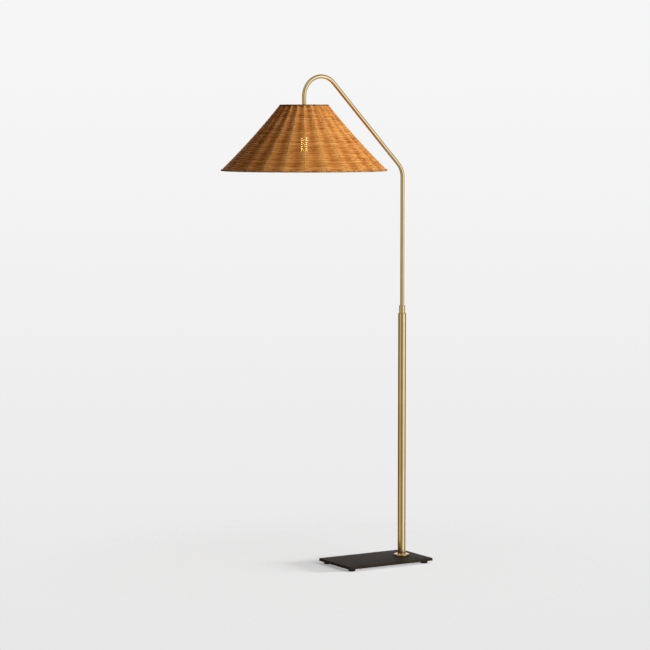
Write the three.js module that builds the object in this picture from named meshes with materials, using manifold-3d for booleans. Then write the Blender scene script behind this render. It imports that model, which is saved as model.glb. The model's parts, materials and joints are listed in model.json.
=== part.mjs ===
// A floor lamp with a woven rattan shade. A brass arm stands in a brass column on a black
// steel plate, leans out over the plate and hooks down into the shade.
//
// Millimetres, +Z up. The origin is on the floor, under the centre of the lamp's outline.
// The plate's long side runs along X, and the arm reaches towards -X.
import * as THREE from 'three';
import { mergeVertices } from 'three/addons/utils/BufferGeometryUtils.js';
import Module from 'manifold-3d';

const wasm = await Module();
wasm.setup();

// Gaps: between pieces that touch, and round pieces that slide or turn
const SEAT_GAP = 0.3;
const RUNNING_GAP = 0.15;
// How far a cutting tool reaches past the face that it opens
const OVERSHOOT = 1;

// Base plate and feet
const PLATE_LENGTH = 310;
const PLATE_WIDTH = 186;
const PLATE_THICKNESS = 8;
const PLATE_CORNER_RADIUS = 5;
const PLATE_EDGE_BEVEL = 0.8;
const PLATE_UNDERSIDE = 8.5;
const COLUMN_TO_PLATE_END = 59;
const FOOT_RADIUS = 12;
const FOOT_INSET = 21;
const FOOT_SCREW_RADIUS = 2;
const FOOT_SCREW_DEPTH = 5.5;
const BOLT_RADIUS = 4.9;
const BOLT_REACH = 22;

// Column
const COLUMN_RADIUS = 12.7;
const COLUMN_WALL = 1.2;
const COLUMN_TOP = 786;
const FLANGE_RADIUS = 24;
const FLANGE_HEIGHT = 5.5;
const OUTLET_HEIGHT = 48;
const OUTLET_RADIUS = 6;
const CORD_HOLE_RADIUS = 4;
const FERRULE_NECK_RADIUS = 9.525;
const FERRULE_TOP = 812;
const FERRULE_SPIGOT = 30;
const FERRULE_WALL = 1;

// Arm, all on its centreline
const ARM_RADIUS = 6.35;
const ARM_WALL = 1.2;
const ARM_REACH = 358;
const ARM_LOWER_END = 694;
const ARM_LEG_END = 1424;
const SLANT_FROM_VERTICAL = THREE.MathUtils.degToRad(43.4);
const SLANT_MEETS_COLUMN_AXIS = 1238.6;
const KNEE_RADIUS = 60;
const HOOK_RADIUS = 61;
const GUIDE_LENGTH = 24;

// Shade
const SHADE_TOP = 1438;
const SHADE_BOTTOM = 1240;
const SHADE_TOP_RADIUS = 76;
const SHADE_BOTTOM_RADIUS = 253.5;
const SHADE_SAG = 5.5;
const SHADE_WALL = 4;
const STAKE_COUNT = 24;
const STAKE_BULGE = 2.2;
const STAKE_BULGE_INSIDE = 0.6;
const RIM_RADIUS = 3;
const RIM_OVERHANG = 1.4;
const SPIDER_WIRE_RADIUS = 1.75;
const SPIDER_HUB_RADIUS = 12;
const SPOKE_COUNT = 3;

// Lampholder, hung under the arm's leg
const HOLDER_RADIUS = 17.1;
const HOLDER_WALL = 0.7;
const HOLDER_MOUTH = 1351;
const HOLDER_TOP = 1399;
const CAP_SKIRT_BOTTOM = 1393;
const CAP_WALL = 0.8;
const SWITCH_HEIGHT = 1388;
const SWITCH_SHAFT_RADIUS = 1.9;
const SWITCH_HOLE_RADIUS = 2.5;
const NIPPLE_RADIUS = 4.8;
const NIPPLE_BORE = 3.5;

// Bulb, measured downwards from its contact
const BULB_CONTACT = 1379;
const BULB_LENGTH = 108;
const BULB_RADIUS = 30;
const BULB_CAP_RADIUS = 13;
const BULB_CAP_LENGTH = 27;
const BULB_GLASS = 0.8;
const FILAMENT_LENGTH = 40;
const FILAMENT_START = 42;
const FILAMENT_RADIUS = 0.9;
const FILAMENT_CIRCLE = 10.5;
const FILAMENT_COUNT = 4;
const FILAMENT_TURN = THREE.MathUtils.degToRad(19);

// Derived heights and places
const PLATE_TOP = PLATE_UNDERSIDE + PLATE_THICKNESS;
const COLUMN_BORE = COLUMN_RADIUS - COLUMN_WALL;
const ARM_BORE = ARM_RADIUS - ARM_WALL;
const SHADE_OUTER_RADIUS = SHADE_BOTTOM_RADIUS + RIM_OVERHANG;
const LAMP_LEFT = -ARM_REACH - SHADE_OUTER_RADIUS;
const COLUMN_X = (COLUMN_TO_PLATE_END - LAMP_LEFT) / 2 - COLUMN_TO_PLATE_END;

// How finely round faces are cut
const SIDES = 24;
const SMALL_SIDES = 16;
const TINY_SIDES = 10;
const ARM_SIDES = 16;
const BULB_SIDES = 20;
const BULB_STEPS = 5;
const WIRE_SIDES = 6;
const CURVE_STEPS = 2;
const PLATE_CORNER_STEPS = 3;
const PRISM_HOLE_STEPS = 6;
const KNEE_STEPS = 6;
const HOOK_STEPS = 14;
const RIM_SIDES = 8;
const TOP_RIM_STEPS = 36;
const BOTTOM_RIM_STEPS = 48;
const SPIDER_STEPS = 32;
const WEAVE_LEVELS = 5;
const WEAVE_STEPS_PER_STAKE = 4;

const brass = new THREE.MeshStandardMaterial({ color: 0xc6a566, roughness: 0.3, metalness: 1 });
const blackSteel = new THREE.MeshStandardMaterial({ color: 0x2a2725, roughness: 0.55, metalness: 0.4 });
const steel = new THREE.MeshStandardMaterial({ color: 0xb4b6b8, roughness: 0.35, metalness: 1 });
const rubber = new THREE.MeshStandardMaterial({ color: 0x141414, roughness: 0.85, metalness: 0 });
const blackPlastic = new THREE.MeshStandardMaterial({ color: 0x1b1b1b, roughness: 0.5, metalness: 0 });
const nylon = new THREE.MeshStandardMaterial({ color: 0xe4e0d6, roughness: 0.5, metalness: 0 });
const liner = new THREE.MeshStandardMaterial({ color: 0x7a6a55, roughness: 0.9, metalness: 0 });
const rattan = new THREE.MeshStandardMaterial({ color: 0xa9652e, roughness: 0.6, metalness: 0 });
const glass = new THREE.MeshStandardMaterial({
  color: 0xf4f6f4, roughness: 0.05, metalness: 0, transparent: true, opacity: 0.3,
});
const filament = new THREE.MeshStandardMaterial({ color: 0xffc860, roughness: 0.6, emissive: 0xff9d30 });

// Solids for cutting and joining

function toSolid(geometry) {
  const bare = geometry.clone();
  bare.deleteAttribute('normal');
  bare.deleteAttribute('uv');
  const merged = mergeVertices(bare, 1e-4);
  const corners = merged.index.array;
  const kept = [];
  for (let i = 0; i < corners.length; i += 3) {
    const [a, b, c] = [corners[i], corners[i + 1], corners[i + 2]];
    if (a !== b && b !== c && c !== a) kept.push(a, b, c);
  }
  return new wasm.Manifold(new wasm.Mesh({
    numProp: 3,
    vertProperties: new Float32Array(merged.attributes.position.array),
    triVerts: new Uint32Array(kept),
  }));
}

function toGeometry(solid) {
  const { vertProperties, triVerts } = solid.getMesh();
  const geometry = new THREE.BufferGeometry();
  geometry.setAttribute('position', new THREE.BufferAttribute(vertProperties, 3));
  geometry.setIndex(new THREE.BufferAttribute(triVerts, 1));
  geometry.computeVertexNormals();
  return geometry;
}

const join = (...pieces) => toGeometry(pieces.map(toSolid).reduce((a, b) => a.add(b)));
const cut = (body, ...tools) => (
  toGeometry(tools.map(toSolid).reduce((a, b) => a.subtract(b), toSolid(body)))
);

// Shapes

const at = (x, y, z) => new THREE.Vector3(x, y, z);

// Turns a profile of (radius, height) about Z
function turned(path, sides = SIDES) {
  return new THREE.LatheGeometry(path.getPoints(CURVE_STEPS), sides).rotateX(Math.PI / 2);
}

function profile(points) {
  return new THREE.Path(points.map(([radius, height]) => new THREE.Vector2(radius, height)));
}

// A plain ring or sleeve
function sleeve(inner, outer, bottom, top, sides = SIDES) {
  const corners = [[inner, bottom], [outer, bottom], [outer, top], [inner, top], [inner, bottom]];
  return turned(profile(corners), sides);
}

// A straight round rod between two points
function rod(radius, from, to, sides = SMALL_SIDES) {
  const along = new THREE.Vector3().subVectors(to, from);
  const geometry = new THREE.CylinderGeometry(radius, radius, along.length(), sides);
  const turn = new THREE.Quaternion().setFromUnitVectors(at(0, 1, 0), along.clone().normalize());
  const middle = new THREE.Vector3().addVectors(from, to).multiplyScalar(0.5);
  return geometry.applyQuaternion(turn).translate(middle.x, middle.y, middle.z);
}

function hexagon(acrossFlats, holeRadius = 0) {
  const shape = new THREE.Shape();
  const corner = acrossFlats / Math.sqrt(3);
  for (let i = 0; i < 6; i += 1) {
    const angle = i * Math.PI / 3;
    const move = i === 0 ? 'moveTo' : 'lineTo';
    shape[move](corner * Math.cos(angle), corner * Math.sin(angle));
  }
  if (holeRadius > 0) shape.holes.push(new THREE.Path().absarc(0, 0, holeRadius, 0, Math.PI * 2, true));
  return shape;
}

function prism(shape, bottom, height) {
  return new THREE.ExtrudeGeometry(shape, {
    depth: height, bevelEnabled: false, curveSegments: PRISM_HOLE_STEPS,
  }).translate(0, 0, bottom);
}

// The lamp, with the column's axis as its own Z axis, moved so that the outline is centred
const lamp = new THREE.Group();
lamp.position.x = COLUMN_X;
const shadeGroup = new THREE.Group();
shadeGroup.position.x = -ARM_REACH;
lamp.add(shadeGroup);

function place(name, geometry, material, parent = lamp) {
  const mesh = new THREE.Mesh(geometry, material);
  mesh.name = name;
  parent.add(mesh);
  return mesh;
}

// Base plate, with bevelled edges, one bolt hole and four blind screw holes
const footX = [COLUMN_TO_PLATE_END - PLATE_LENGTH + FOOT_INSET, COLUMN_TO_PLATE_END - FOOT_INSET];
const footY = [-PLATE_WIDTH / 2 + FOOT_INSET, PLATE_WIDTH / 2 - FOOT_INSET];
const footPlaces = [
  ['front_left', footX[0], footY[0]],
  ['front_right', footX[1], footY[0]],
  ['back_left', footX[0], footY[1]],
  ['back_right', footX[1], footY[1]],
];

function basePlate() {
  const left = COLUMN_TO_PLATE_END - PLATE_LENGTH + PLATE_EDGE_BEVEL;
  const right = COLUMN_TO_PLATE_END - PLATE_EDGE_BEVEL;
  const half = PLATE_WIDTH / 2 - PLATE_EDGE_BEVEL;
  const r = PLATE_CORNER_RADIUS - PLATE_EDGE_BEVEL;
  const outline = new THREE.Shape();
  outline.absarc(right - r, -half + r, r, -Math.PI / 2, 0);
  outline.absarc(right - r, half - r, r, 0, Math.PI / 2);
  outline.absarc(left + r, half - r, r, Math.PI / 2, Math.PI);
  outline.absarc(left + r, -half + r, r, Math.PI, Math.PI * 1.5);
  outline.closePath();
  const plate = new THREE.ExtrudeGeometry(outline, {
    depth: PLATE_THICKNESS - 2 * PLATE_EDGE_BEVEL,
    bevelThickness: PLATE_EDGE_BEVEL,
    bevelSize: PLATE_EDGE_BEVEL,
    bevelSegments: 1,
    curveSegments: PLATE_CORNER_STEPS,
  }).translate(0, 0, PLATE_UNDERSIDE + PLATE_EDGE_BEVEL);
  const boltHole = rod(BOLT_RADIUS + SEAT_GAP, at(0, 0, 0), at(0, 0, PLATE_TOP + OVERSHOOT));
  const holeEnd = PLATE_UNDERSIDE + FOOT_SCREW_DEPTH + SEAT_GAP;
  const screwHoles = footPlaces.map(([, x, y]) => (
    rod(FOOT_SCREW_RADIUS + SEAT_GAP, at(x, y, 0), at(x, y, holeEnd), TINY_SIDES)
  ));
  return cut(plate, boltHole, ...screwHoles);
}

// A tapered rubber foot with a recess that takes its screw's head
const FOOT_TOP = PLATE_UNDERSIDE - SEAT_GAP;
const FOOT_RECESS = 3.9;
const SCREW_HEAD_RADIUS = 4.4;

function rubberFoot() {
  const recess = SCREW_HEAD_RADIUS + 0.8;
  const screwHole = FOOT_SCREW_RADIUS + 0.5;
  const taper = 1;
  const chamfer = 1;
  return turned(profile([
    [recess, 0], [FOOT_RADIUS - taper - chamfer, 0], [FOOT_RADIUS - taper, chamfer],
    [FOOT_RADIUS, FOOT_TOP], [screwHole, FOOT_TOP], [screwHole, FOOT_RECESS],
    [recess, FOOT_RECESS], [recess, 0],
  ]), SMALL_SIDES);
}

// A pan-head screw, head down
function footScrew() {
  const seat = FOOT_RECESS - SEAT_GAP;
  const headHeight = 2.4;
  const headEdge = 1;
  const crownRadius = SCREW_HEAD_RADIUS - 1.2;
  const tip = PLATE_UNDERSIDE + FOOT_SCREW_DEPTH;
  const tipChamfer = 0.8;
  return turned(profile([
    [0, seat - headHeight], [crownRadius, seat - headHeight], [SCREW_HEAD_RADIUS, seat - headEdge],
    [SCREW_HEAD_RADIUS, seat], [FOOT_SCREW_RADIUS, seat], [FOOT_SCREW_RADIUS, tip - tipChamfer],
    [FOOT_SCREW_RADIUS - tipChamfer, tip], [0, tip],
  ]), TINY_SIDES);
}

place('base_plate', basePlate(), blackSteel);
for (const [corner, x, y] of footPlaces) {
  place(`foot_${corner}`, rubberFoot(), rubber).position.set(x, y, 0);
  place(`foot_screw_${corner}`, footScrew(), steel).position.set(x, y, 0);
}

// The column is bolted to the plate from below, through a washer, into a threaded plug
const WASHER_THICKNESS = 1.5;
const WASHER_RADIUS = 11;
const WASHER_BOTTOM = PLATE_UNDERSIDE - SEAT_GAP - WASHER_THICKNESS;
const BOLT_HEAD_RADIUS = 8.75;
const BOLT_HEAD_HEIGHT = 4.5;
const BOLT_CROWN_RADIUS = 5.75;
const BOLT_SOCKET = 6;
const BOLT_SOCKET_DEPTH = 3;

function baseBolt() {
  const seat = WASHER_BOTTOM - SEAT_GAP;
  const crown = seat - BOLT_HEAD_HEIGHT;
  const edge = 1;
  const tip = PLATE_TOP + BOLT_REACH;
  const path = new THREE.Path();
  path.moveTo(0, crown);
  path.lineTo(BOLT_CROWN_RADIUS, crown);
  path.quadraticCurveTo(BOLT_HEAD_RADIUS, crown, BOLT_HEAD_RADIUS, seat - edge);
  path.lineTo(BOLT_HEAD_RADIUS, seat);
  path.lineTo(BOLT_RADIUS, seat);
  path.lineTo(BOLT_RADIUS, tip - edge);
  path.lineTo(BOLT_RADIUS - edge, tip);
  path.lineTo(0, tip);
  const socket = prism(hexagon(BOLT_SOCKET), crown - OVERSHOOT, BOLT_SOCKET_DEPTH + OVERSHOOT);
  return cut(turned(path, SMALL_SIDES), socket);
}

const COLUMN_FOOT = PLATE_TOP + SEAT_GAP;
const PLUG_HEIGHT = 25;

function columnFlange() {
  const inner = COLUMN_RADIUS + SEAT_GAP;
  const top = COLUMN_FOOT + FLANGE_HEIGHT;
  const edge = 2.2;
  const path = new THREE.Path();
  path.moveTo(inner, COLUMN_FOOT);
  path.lineTo(FLANGE_RADIUS, COLUMN_FOOT);
  path.lineTo(FLANGE_RADIUS, top - edge);
  path.absarc(FLANGE_RADIUS - edge, top - edge, edge, 0, Math.PI / 2);
  path.lineTo(inner, top);
  path.lineTo(inner, COLUMN_FOOT);
  return turned(path);
}

function columnTube() {
  const tube = sleeve(COLUMN_BORE, COLUMN_RADIUS, COLUMN_FOOT, COLUMN_TOP);
  const outside = COLUMN_RADIUS + OVERSHOOT;
  const outlet = rod(OUTLET_RADIUS, at(0, 0, OUTLET_HEIGHT), at(0, outside, OUTLET_HEIGHT));
  return cut(tube, outlet);
}

// A bushing lines the cord's outlet at the back of the column, and its collar fits the tube
function outletBushing() {
  const collarRadius = 7;
  const neckRadius = OUTLET_RADIUS - SEAT_GAP;
  const inside = COLUMN_BORE - 3;
  const face = COLUMN_RADIUS + 1.6;
  const across = (radius, from, to) => rod(radius, at(0, from, OUTLET_HEIGHT), at(0, to, OUTLET_HEIGHT));
  const collar = across(collarRadius, COLUMN_BORE, face);
  const neck = across(neckRadius, inside, face - OVERSHOOT / 2);
  const bore = across(CORD_HOLE_RADIUS, inside - OVERSHOOT, face + OVERSHOOT);
  const below = OUTLET_HEIGHT - 2 * collarRadius;
  const column = rod(COLUMN_RADIUS + SEAT_GAP, at(0, 0, below), at(0, 0, below + 4 * collarRadius), SIDES);
  return cut(join(cut(collar, column), neck), bore);
}

place('base_bolt', baseBolt(), steel);
place('base_washer', sleeve(
  BOLT_RADIUS + SEAT_GAP, WASHER_RADIUS, WASHER_BOTTOM, WASHER_BOTTOM + WASHER_THICKNESS, SMALL_SIDES,
), steel);
place('column_foot_plug', sleeve(
  BOLT_RADIUS + SEAT_GAP, COLUMN_BORE - SEAT_GAP, COLUMN_FOOT, COLUMN_FOOT + PLUG_HEIGHT, SMALL_SIDES,
), steel);
place('column_flange', columnFlange(), brass);
place('column_tube', columnTube(), brass);
place('cord_outlet_bushing', outletBushing(), blackPlastic);

// A turned ferrule closes the column, and a friction bush in it grips the arm
const FERRULE_BORE = FERRULE_NECK_RADIUS - FERRULE_WALL;
const FERRULE_CROWN = 1.2;

function ferrule() {
  const seat = COLUMN_TOP + SEAT_GAP;
  const spigot = COLUMN_BORE - SEAT_GAP;
  const foot = COLUMN_TOP - FERRULE_SPIGOT;
  const lip = 1.4;
  const step = 1;
  const path = new THREE.Path();
  path.moveTo(FERRULE_BORE, foot);
  path.lineTo(spigot, foot);
  path.lineTo(spigot, seat);
  path.lineTo(COLUMN_RADIUS, seat);
  path.quadraticCurveTo(COLUMN_RADIUS, seat + lip, COLUMN_RADIUS - lip, seat + lip);
  path.lineTo(FERRULE_NECK_RADIUS, seat + lip + step);
  path.lineTo(FERRULE_NECK_RADIUS, FERRULE_TOP - lip);
  path.quadraticCurveTo(FERRULE_NECK_RADIUS, FERRULE_TOP, FERRULE_NECK_RADIUS - lip, FERRULE_TOP);
  path.lineTo(ARM_RADIUS + SEAT_GAP, FERRULE_TOP);
  path.lineTo(ARM_RADIUS + SEAT_GAP, FERRULE_TOP - FERRULE_CROWN);
  path.lineTo(FERRULE_BORE, FERRULE_TOP - FERRULE_CROWN);
  path.lineTo(FERRULE_BORE, foot);
  return turned(path);
}

place('ferrule', ferrule(), brass);
place('friction_bush', sleeve(
  ARM_RADIUS + RUNNING_GAP, FERRULE_BORE - SEAT_GAP,
  COLUMN_TOP - FERRULE_SPIGOT + 1, FERRULE_TOP - FERRULE_CROWN - SEAT_GAP,
), nylon);

// The arm: up the column's axis, over a knee, along the slant, round the hook and down
class ArmPath extends THREE.Curve {
  constructor() {
    super();
    this.stations = [];
    const slant = at(-Math.sin(SLANT_FROM_VERTICAL), 0, Math.cos(SLANT_FROM_VERTICAL));
    const up = at(0, 0, 1);
    const kneeCut = KNEE_RADIUS * Math.tan(SLANT_FROM_VERTICAL / 2);
    const kneeCentre = at(-KNEE_RADIUS, 0, SLANT_MEETS_COLUMN_AXIS - kneeCut);
    const hookX = -ARM_REACH + HOOK_RADIUS;
    const slantSide = (-hookX - HOOK_RADIUS * Math.cos(SLANT_FROM_VERTICAL)) / Math.sin(SLANT_FROM_VERTICAL);
    const hookStart = slant.clone().multiplyScalar(slantSide).add(at(0, 0, SLANT_MEETS_COLUMN_AXIS));
    const hookZ = hookStart.z - HOOK_RADIUS * Math.sin(SLANT_FROM_VERTICAL);
    this.stations.push([at(0, 0, ARM_LOWER_END), up]);
    this.addArc(kneeCentre, KNEE_RADIUS, 0, SLANT_FROM_VERTICAL, KNEE_STEPS);
    this.addArc(at(hookX, 0, hookZ), HOOK_RADIUS, SLANT_FROM_VERTICAL, Math.PI, HOOK_STEPS);
    this.stations.push([at(-ARM_REACH, 0, ARM_LEG_END), up.clone().negate()]);
  }

  addArc(centre, radius, from, to, steps) {
    for (let i = 0; i <= steps; i += 1) {
      const angle = from + (to - from) * i / steps;
      const outward = at(Math.cos(angle), 0, Math.sin(angle));
      const along = at(-Math.sin(angle), 0, Math.cos(angle));
      this.stations.push([outward.multiplyScalar(radius).add(centre), along]);
    }
  }

  station(share) {
    return this.stations[Math.round(share * (this.stations.length - 1))];
  }

  getPointAt(share) {
    return this.station(share)[0].clone();
  }

  getTangentAt(share) {
    return this.station(share)[1].clone();
  }
}

function armTube() {
  const section = new THREE.Shape().absarc(0, 0, ARM_RADIUS, 0, Math.PI * 2);
  section.holes.push(new THREE.Path().absarc(0, 0, ARM_BORE, 0, Math.PI * 2, true));
  const extrudePath = new ArmPath();
  const steps = extrudePath.stations.length - 1;
  return new THREE.ExtrudeGeometry(section, { extrudePath, steps, curveSegments: ARM_SIDES / 2 });
}

// The guide plug slides in the column, and the arm turns in it between two rings
const RING_HEIGHT = 4;
const RING_RADIUS = 9.2;

function armEndBushing() {
  const flange = 9.5;
  const seat = ARM_LOWER_END - SEAT_GAP;
  const bottom = seat - 3;
  const top = seat + 14;
  return turned(profile([
    [NIPPLE_BORE, bottom], [flange, bottom], [flange, seat], [NIPPLE_RADIUS, seat],
    [NIPPLE_RADIUS, top], [NIPPLE_BORE, top], [NIPPLE_BORE, bottom],
  ]), SMALL_SIDES);
}

const GUIDE_BOTTOM = ARM_LOWER_END + SEAT_GAP;
const RING_BOTTOM = GUIDE_BOTTOM + GUIDE_LENGTH + SEAT_GAP;

function guidePlug() {
  const inner = ARM_RADIUS + RUNNING_GAP;
  const outer = COLUMN_BORE - RUNNING_GAP;
  const waist = outer - 1.2;
  const band = 5;
  const bevel = 1;
  const top = GUIDE_BOTTOM + GUIDE_LENGTH;
  return turned(profile([
    [inner, GUIDE_BOTTOM], [outer, GUIDE_BOTTOM], [outer, GUIDE_BOTTOM + band],
    [waist, GUIDE_BOTTOM + band + bevel], [waist, top - band - bevel], [outer, top - band],
    [outer, top], [inner, top], [inner, GUIDE_BOTTOM],
  ]));
}

place('arm_tube', armTube(), brass);
place('guide_plug', guidePlug(), nylon);
place('arm_end_bushing', armEndBushing(), blackPlastic);
place('arm_stop_ring', sleeve(
  ARM_RADIUS + SEAT_GAP, RING_RADIUS, RING_BOTTOM, RING_BOTTOM + RING_HEIGHT,
), steel);

// Shade: a woven cone that sags a little between its rims and swells over each stake
const shadeHeight = SHADE_TOP - SHADE_BOTTOM;
const TOP_RIM_Z = SHADE_TOP - RIM_RADIUS / 2;
// The slope is near 45 degrees, so the wall is this deep when measured level
const WEAVE_DEPTH = SHADE_WALL * Math.SQRT2;

function shadeRadius(z) {
  const down = (SHADE_TOP - z) / shadeHeight;
  const straight = SHADE_TOP_RADIUS + (SHADE_BOTTOM_RADIUS - SHADE_TOP_RADIUS) * down;
  return straight - 4 * SHADE_SAG * down * (1 - down);
}

function wovenCone() {
  const around = STAKE_COUNT * WEAVE_STEPS_PER_STAKE;
  const top = TOP_RIM_Z - RIM_RADIUS - SEAT_GAP;
  const bottom = SHADE_BOTTOM + RIM_RADIUS + SEAT_GAP;
  const positions = [];
  const index = [];
  const ringStart = [];
  const addRing = (z, offset, bulge) => {
    ringStart.push(positions.length / 3);
    for (let i = 0; i < around; i += 1) {
      const angle = Math.PI * 2 * i / around;
      const swell = bulge * Math.cos(STAKE_COUNT * angle);
      const radius = shadeRadius(z) + offset + swell;
      positions.push(radius * Math.cos(angle), radius * Math.sin(angle), z);
    }
  };
  const height = (k) => bottom + (top - bottom) * k / WEAVE_LEVELS;
  const inside = -STAKE_BULGE - WEAVE_DEPTH;
  for (let k = 0; k <= WEAVE_LEVELS; k += 1) addRing(height(k), -STAKE_BULGE, STAKE_BULGE);
  for (let k = WEAVE_LEVELS; k >= 0; k -= 1) addRing(height(k), inside, -STAKE_BULGE_INSIDE);
  ringStart.forEach((lower, k) => {
    const upper = ringStart[(k + 1) % ringStart.length];
    for (let i = 0; i < around; i += 1) {
      const next = (i + 1) % around;
      index.push(lower + i, lower + next, upper + next);
      index.push(lower + i, upper + next, upper + i);
    }
  });
  const geometry = new THREE.BufferGeometry();
  geometry.setAttribute('position', new THREE.Float32BufferAttribute(positions, 3));
  geometry.setIndex(index);
  geometry.computeVertexNormals();
  return geometry;
}

function hoop(radius, wire, z, sides, steps) {
  return new THREE.TorusGeometry(radius, wire, sides, steps).translate(0, 0, z);
}

// The spider: a wire ring inside the top rim, three spokes and a centre ring
const SPIDER_RING_Z = SHADE_TOP - 8;
const SPIDER_CLEARANCE = 0.8;
const SPOKE_RADIUS = 1.6;
const SPOKE_ROOT = SPIDER_HUB_RADIUS - 2;
const WEAVE_INSIDE = shadeRadius(SPIDER_RING_Z) - STAKE_BULGE - WEAVE_DEPTH - STAKE_BULGE_INSIDE;
const SPIDER_RING_RADIUS = WEAVE_INSIDE - SPIDER_WIRE_RADIUS - SPIDER_CLEARANCE;
const SPIDER_HUB_TOP = ARM_LEG_END - SEAT_GAP;
const SPIDER_HUB_HEIGHT = 2;

function spider() {
  const hubZ = SPIDER_HUB_TOP - SPIDER_HUB_HEIGHT / 2;
  const pieces = [
    hoop(SPIDER_RING_RADIUS, SPIDER_WIRE_RADIUS, SPIDER_RING_Z, WIRE_SIDES, SPIDER_STEPS),
    sleeve(
      NIPPLE_RADIUS + SEAT_GAP, SPIDER_HUB_RADIUS,
      SPIDER_HUB_TOP - SPIDER_HUB_HEIGHT, SPIDER_HUB_TOP, SMALL_SIDES,
    ),
  ];
  for (let i = 0; i < SPOKE_COUNT; i += 1) {
    const angle = i * Math.PI * 2 / SPOKE_COUNT;
    const out = at(Math.cos(angle), Math.sin(angle), 0);
    const inner = out.clone().multiplyScalar(SPOKE_ROOT).setZ(hubZ);
    const outer = out.clone().multiplyScalar(SPIDER_RING_RADIUS).setZ(SPIDER_RING_Z);
    pieces.push(rod(SPOKE_RADIUS, inner, outer, TINY_SIDES));
  }
  return join(...pieces);
}

place('shade_weave', wovenCone(), rattan, shadeGroup);
place('shade_top_rim', hoop(
  SHADE_TOP_RADIUS - RIM_RADIUS, RIM_RADIUS, TOP_RIM_Z, RIM_SIDES, TOP_RIM_STEPS,
), rattan, shadeGroup);
place('shade_bottom_rim', hoop(
  SHADE_OUTER_RADIUS - RIM_RADIUS, RIM_RADIUS, SHADE_BOTTOM, RIM_SIDES, BOTTOM_RIM_STEPS,
), rattan, shadeGroup);
place('shade_spider', spider(), brass, shadeGroup);

// Lampholder: nipple and nut, cap, shell, liner, insulator, screw shell, contact and switch
const CAP_TOP = SPIDER_HUB_TOP - SPIDER_HUB_HEIGHT - SEAT_GAP;
const NIPPLE_BOTTOM = CAP_TOP - 14;
const NIPPLE_TOP = ARM_LEG_END + 16;

// A drawn cup: a straight skirt, a shoulder in a quarter of an ellipse and a flat crown
function holderCap() {
  const inner = HOLDER_RADIUS + SEAT_GAP;
  const outer = inner + CAP_WALL;
  const hole = NIPPLE_RADIUS + SEAT_GAP;
  const crown = 9;
  const shoulder = HOLDER_TOP + 4;
  const underside = CAP_TOP - CAP_WALL;
  const path = new THREE.Path();
  path.moveTo(inner, CAP_SKIRT_BOTTOM);
  path.lineTo(outer, CAP_SKIRT_BOTTOM);
  path.lineTo(outer, shoulder);
  path.absellipse(crown, shoulder, outer - crown, CAP_TOP - shoulder, 0, Math.PI / 2);
  path.lineTo(hole, CAP_TOP);
  path.lineTo(hole, underside);
  path.lineTo(crown, underside);
  path.absellipse(crown, shoulder, inner - crown, underside - shoulder, Math.PI / 2, 0, true);
  path.lineTo(inner, CAP_SKIRT_BOTTOM);
  return turned(path);
}

// The knob's hole, through the shell and its liner
const KNOB_ROOT = 6;
const knobAt = (out) => at(-out, 0, SWITCH_HEIGHT);
const knobHole = (radius, from) => rod(radius, knobAt(from), knobAt(HOLDER_RADIUS + OVERSHOOT), TINY_SIDES);

function holderShell() {
  const bead = 0.8;
  const beadHeight = 2.4;
  const inner = HOLDER_RADIUS - HOLDER_WALL;
  const shell = turned(profile([
    [inner, HOLDER_MOUTH], [HOLDER_RADIUS, HOLDER_MOUTH],
    [HOLDER_RADIUS + bead, HOLDER_MOUTH + beadHeight / 2], [HOLDER_RADIUS, HOLDER_MOUTH + beadHeight],
    [HOLDER_RADIUS, HOLDER_TOP], [inner, HOLDER_TOP], [inner, HOLDER_MOUTH],
  ]));
  return cut(shell, knobHole(SWITCH_HOLE_RADIUS, KNOB_ROOT));
}

const LINER_OUTER = HOLDER_RADIUS - HOLDER_WALL - SEAT_GAP;
const LINER_WALL = 0.7;
const LINER_INSET = 1;
const INSULATOR_RADIUS = LINER_OUTER - LINER_WALL - SEAT_GAP;
const INSULATOR_BOTTOM = BULB_CONTACT + 1.5;
const SCREW_SHELL_BORE = BULB_CAP_RADIUS + 0.5;
const SCREW_SHELL_WALL = 0.6;
const CONTACT_RADIUS = 3;

function insulator() {
  const body = rod(INSULATOR_RADIUS, at(0, 0, INSULATOR_BOTTOM), at(0, 0, HOLDER_TOP - LINER_INSET));
  return cut(body, knobHole(SWITCH_SHAFT_RADIUS + SEAT_GAP, KNOB_ROOT));
}

function holderLiner() {
  const tube = sleeve(
    LINER_OUTER - LINER_WALL, LINER_OUTER, HOLDER_MOUTH + LINER_INSET, HOLDER_TOP - LINER_INSET,
  );
  return cut(tube, knobHole(SWITCH_HOLE_RADIUS, KNOB_ROOT));
}

// A turn knob: a round shaft into the insulator and a flat oval wing to grip
function switchKnob() {
  const wingStart = HOLDER_RADIUS + 6;
  const wing = { length: 15, thickness: 4.4, height: 12 };
  const collarRadius = 3.4;
  const collarStart = HOLDER_RADIUS + 1.2;
  const sunk = 3;
  const oval = new THREE.SphereGeometry(0.5, SMALL_SIDES, WIRE_SIDES)
    .rotateZ(Math.PI / 2)
    .scale(wing.length, wing.thickness, wing.height)
    .translate(-wingStart - wing.length / 2, 0, SWITCH_HEIGHT);
  const shaft = rod(SWITCH_SHAFT_RADIUS, knobAt(KNOB_ROOT + SEAT_GAP), knobAt(wingStart + sunk), TINY_SIDES);
  const collar = rod(collarRadius, knobAt(collarStart), knobAt(wingStart + sunk), TINY_SIDES);
  return join(shaft, collar, oval);
}

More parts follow.
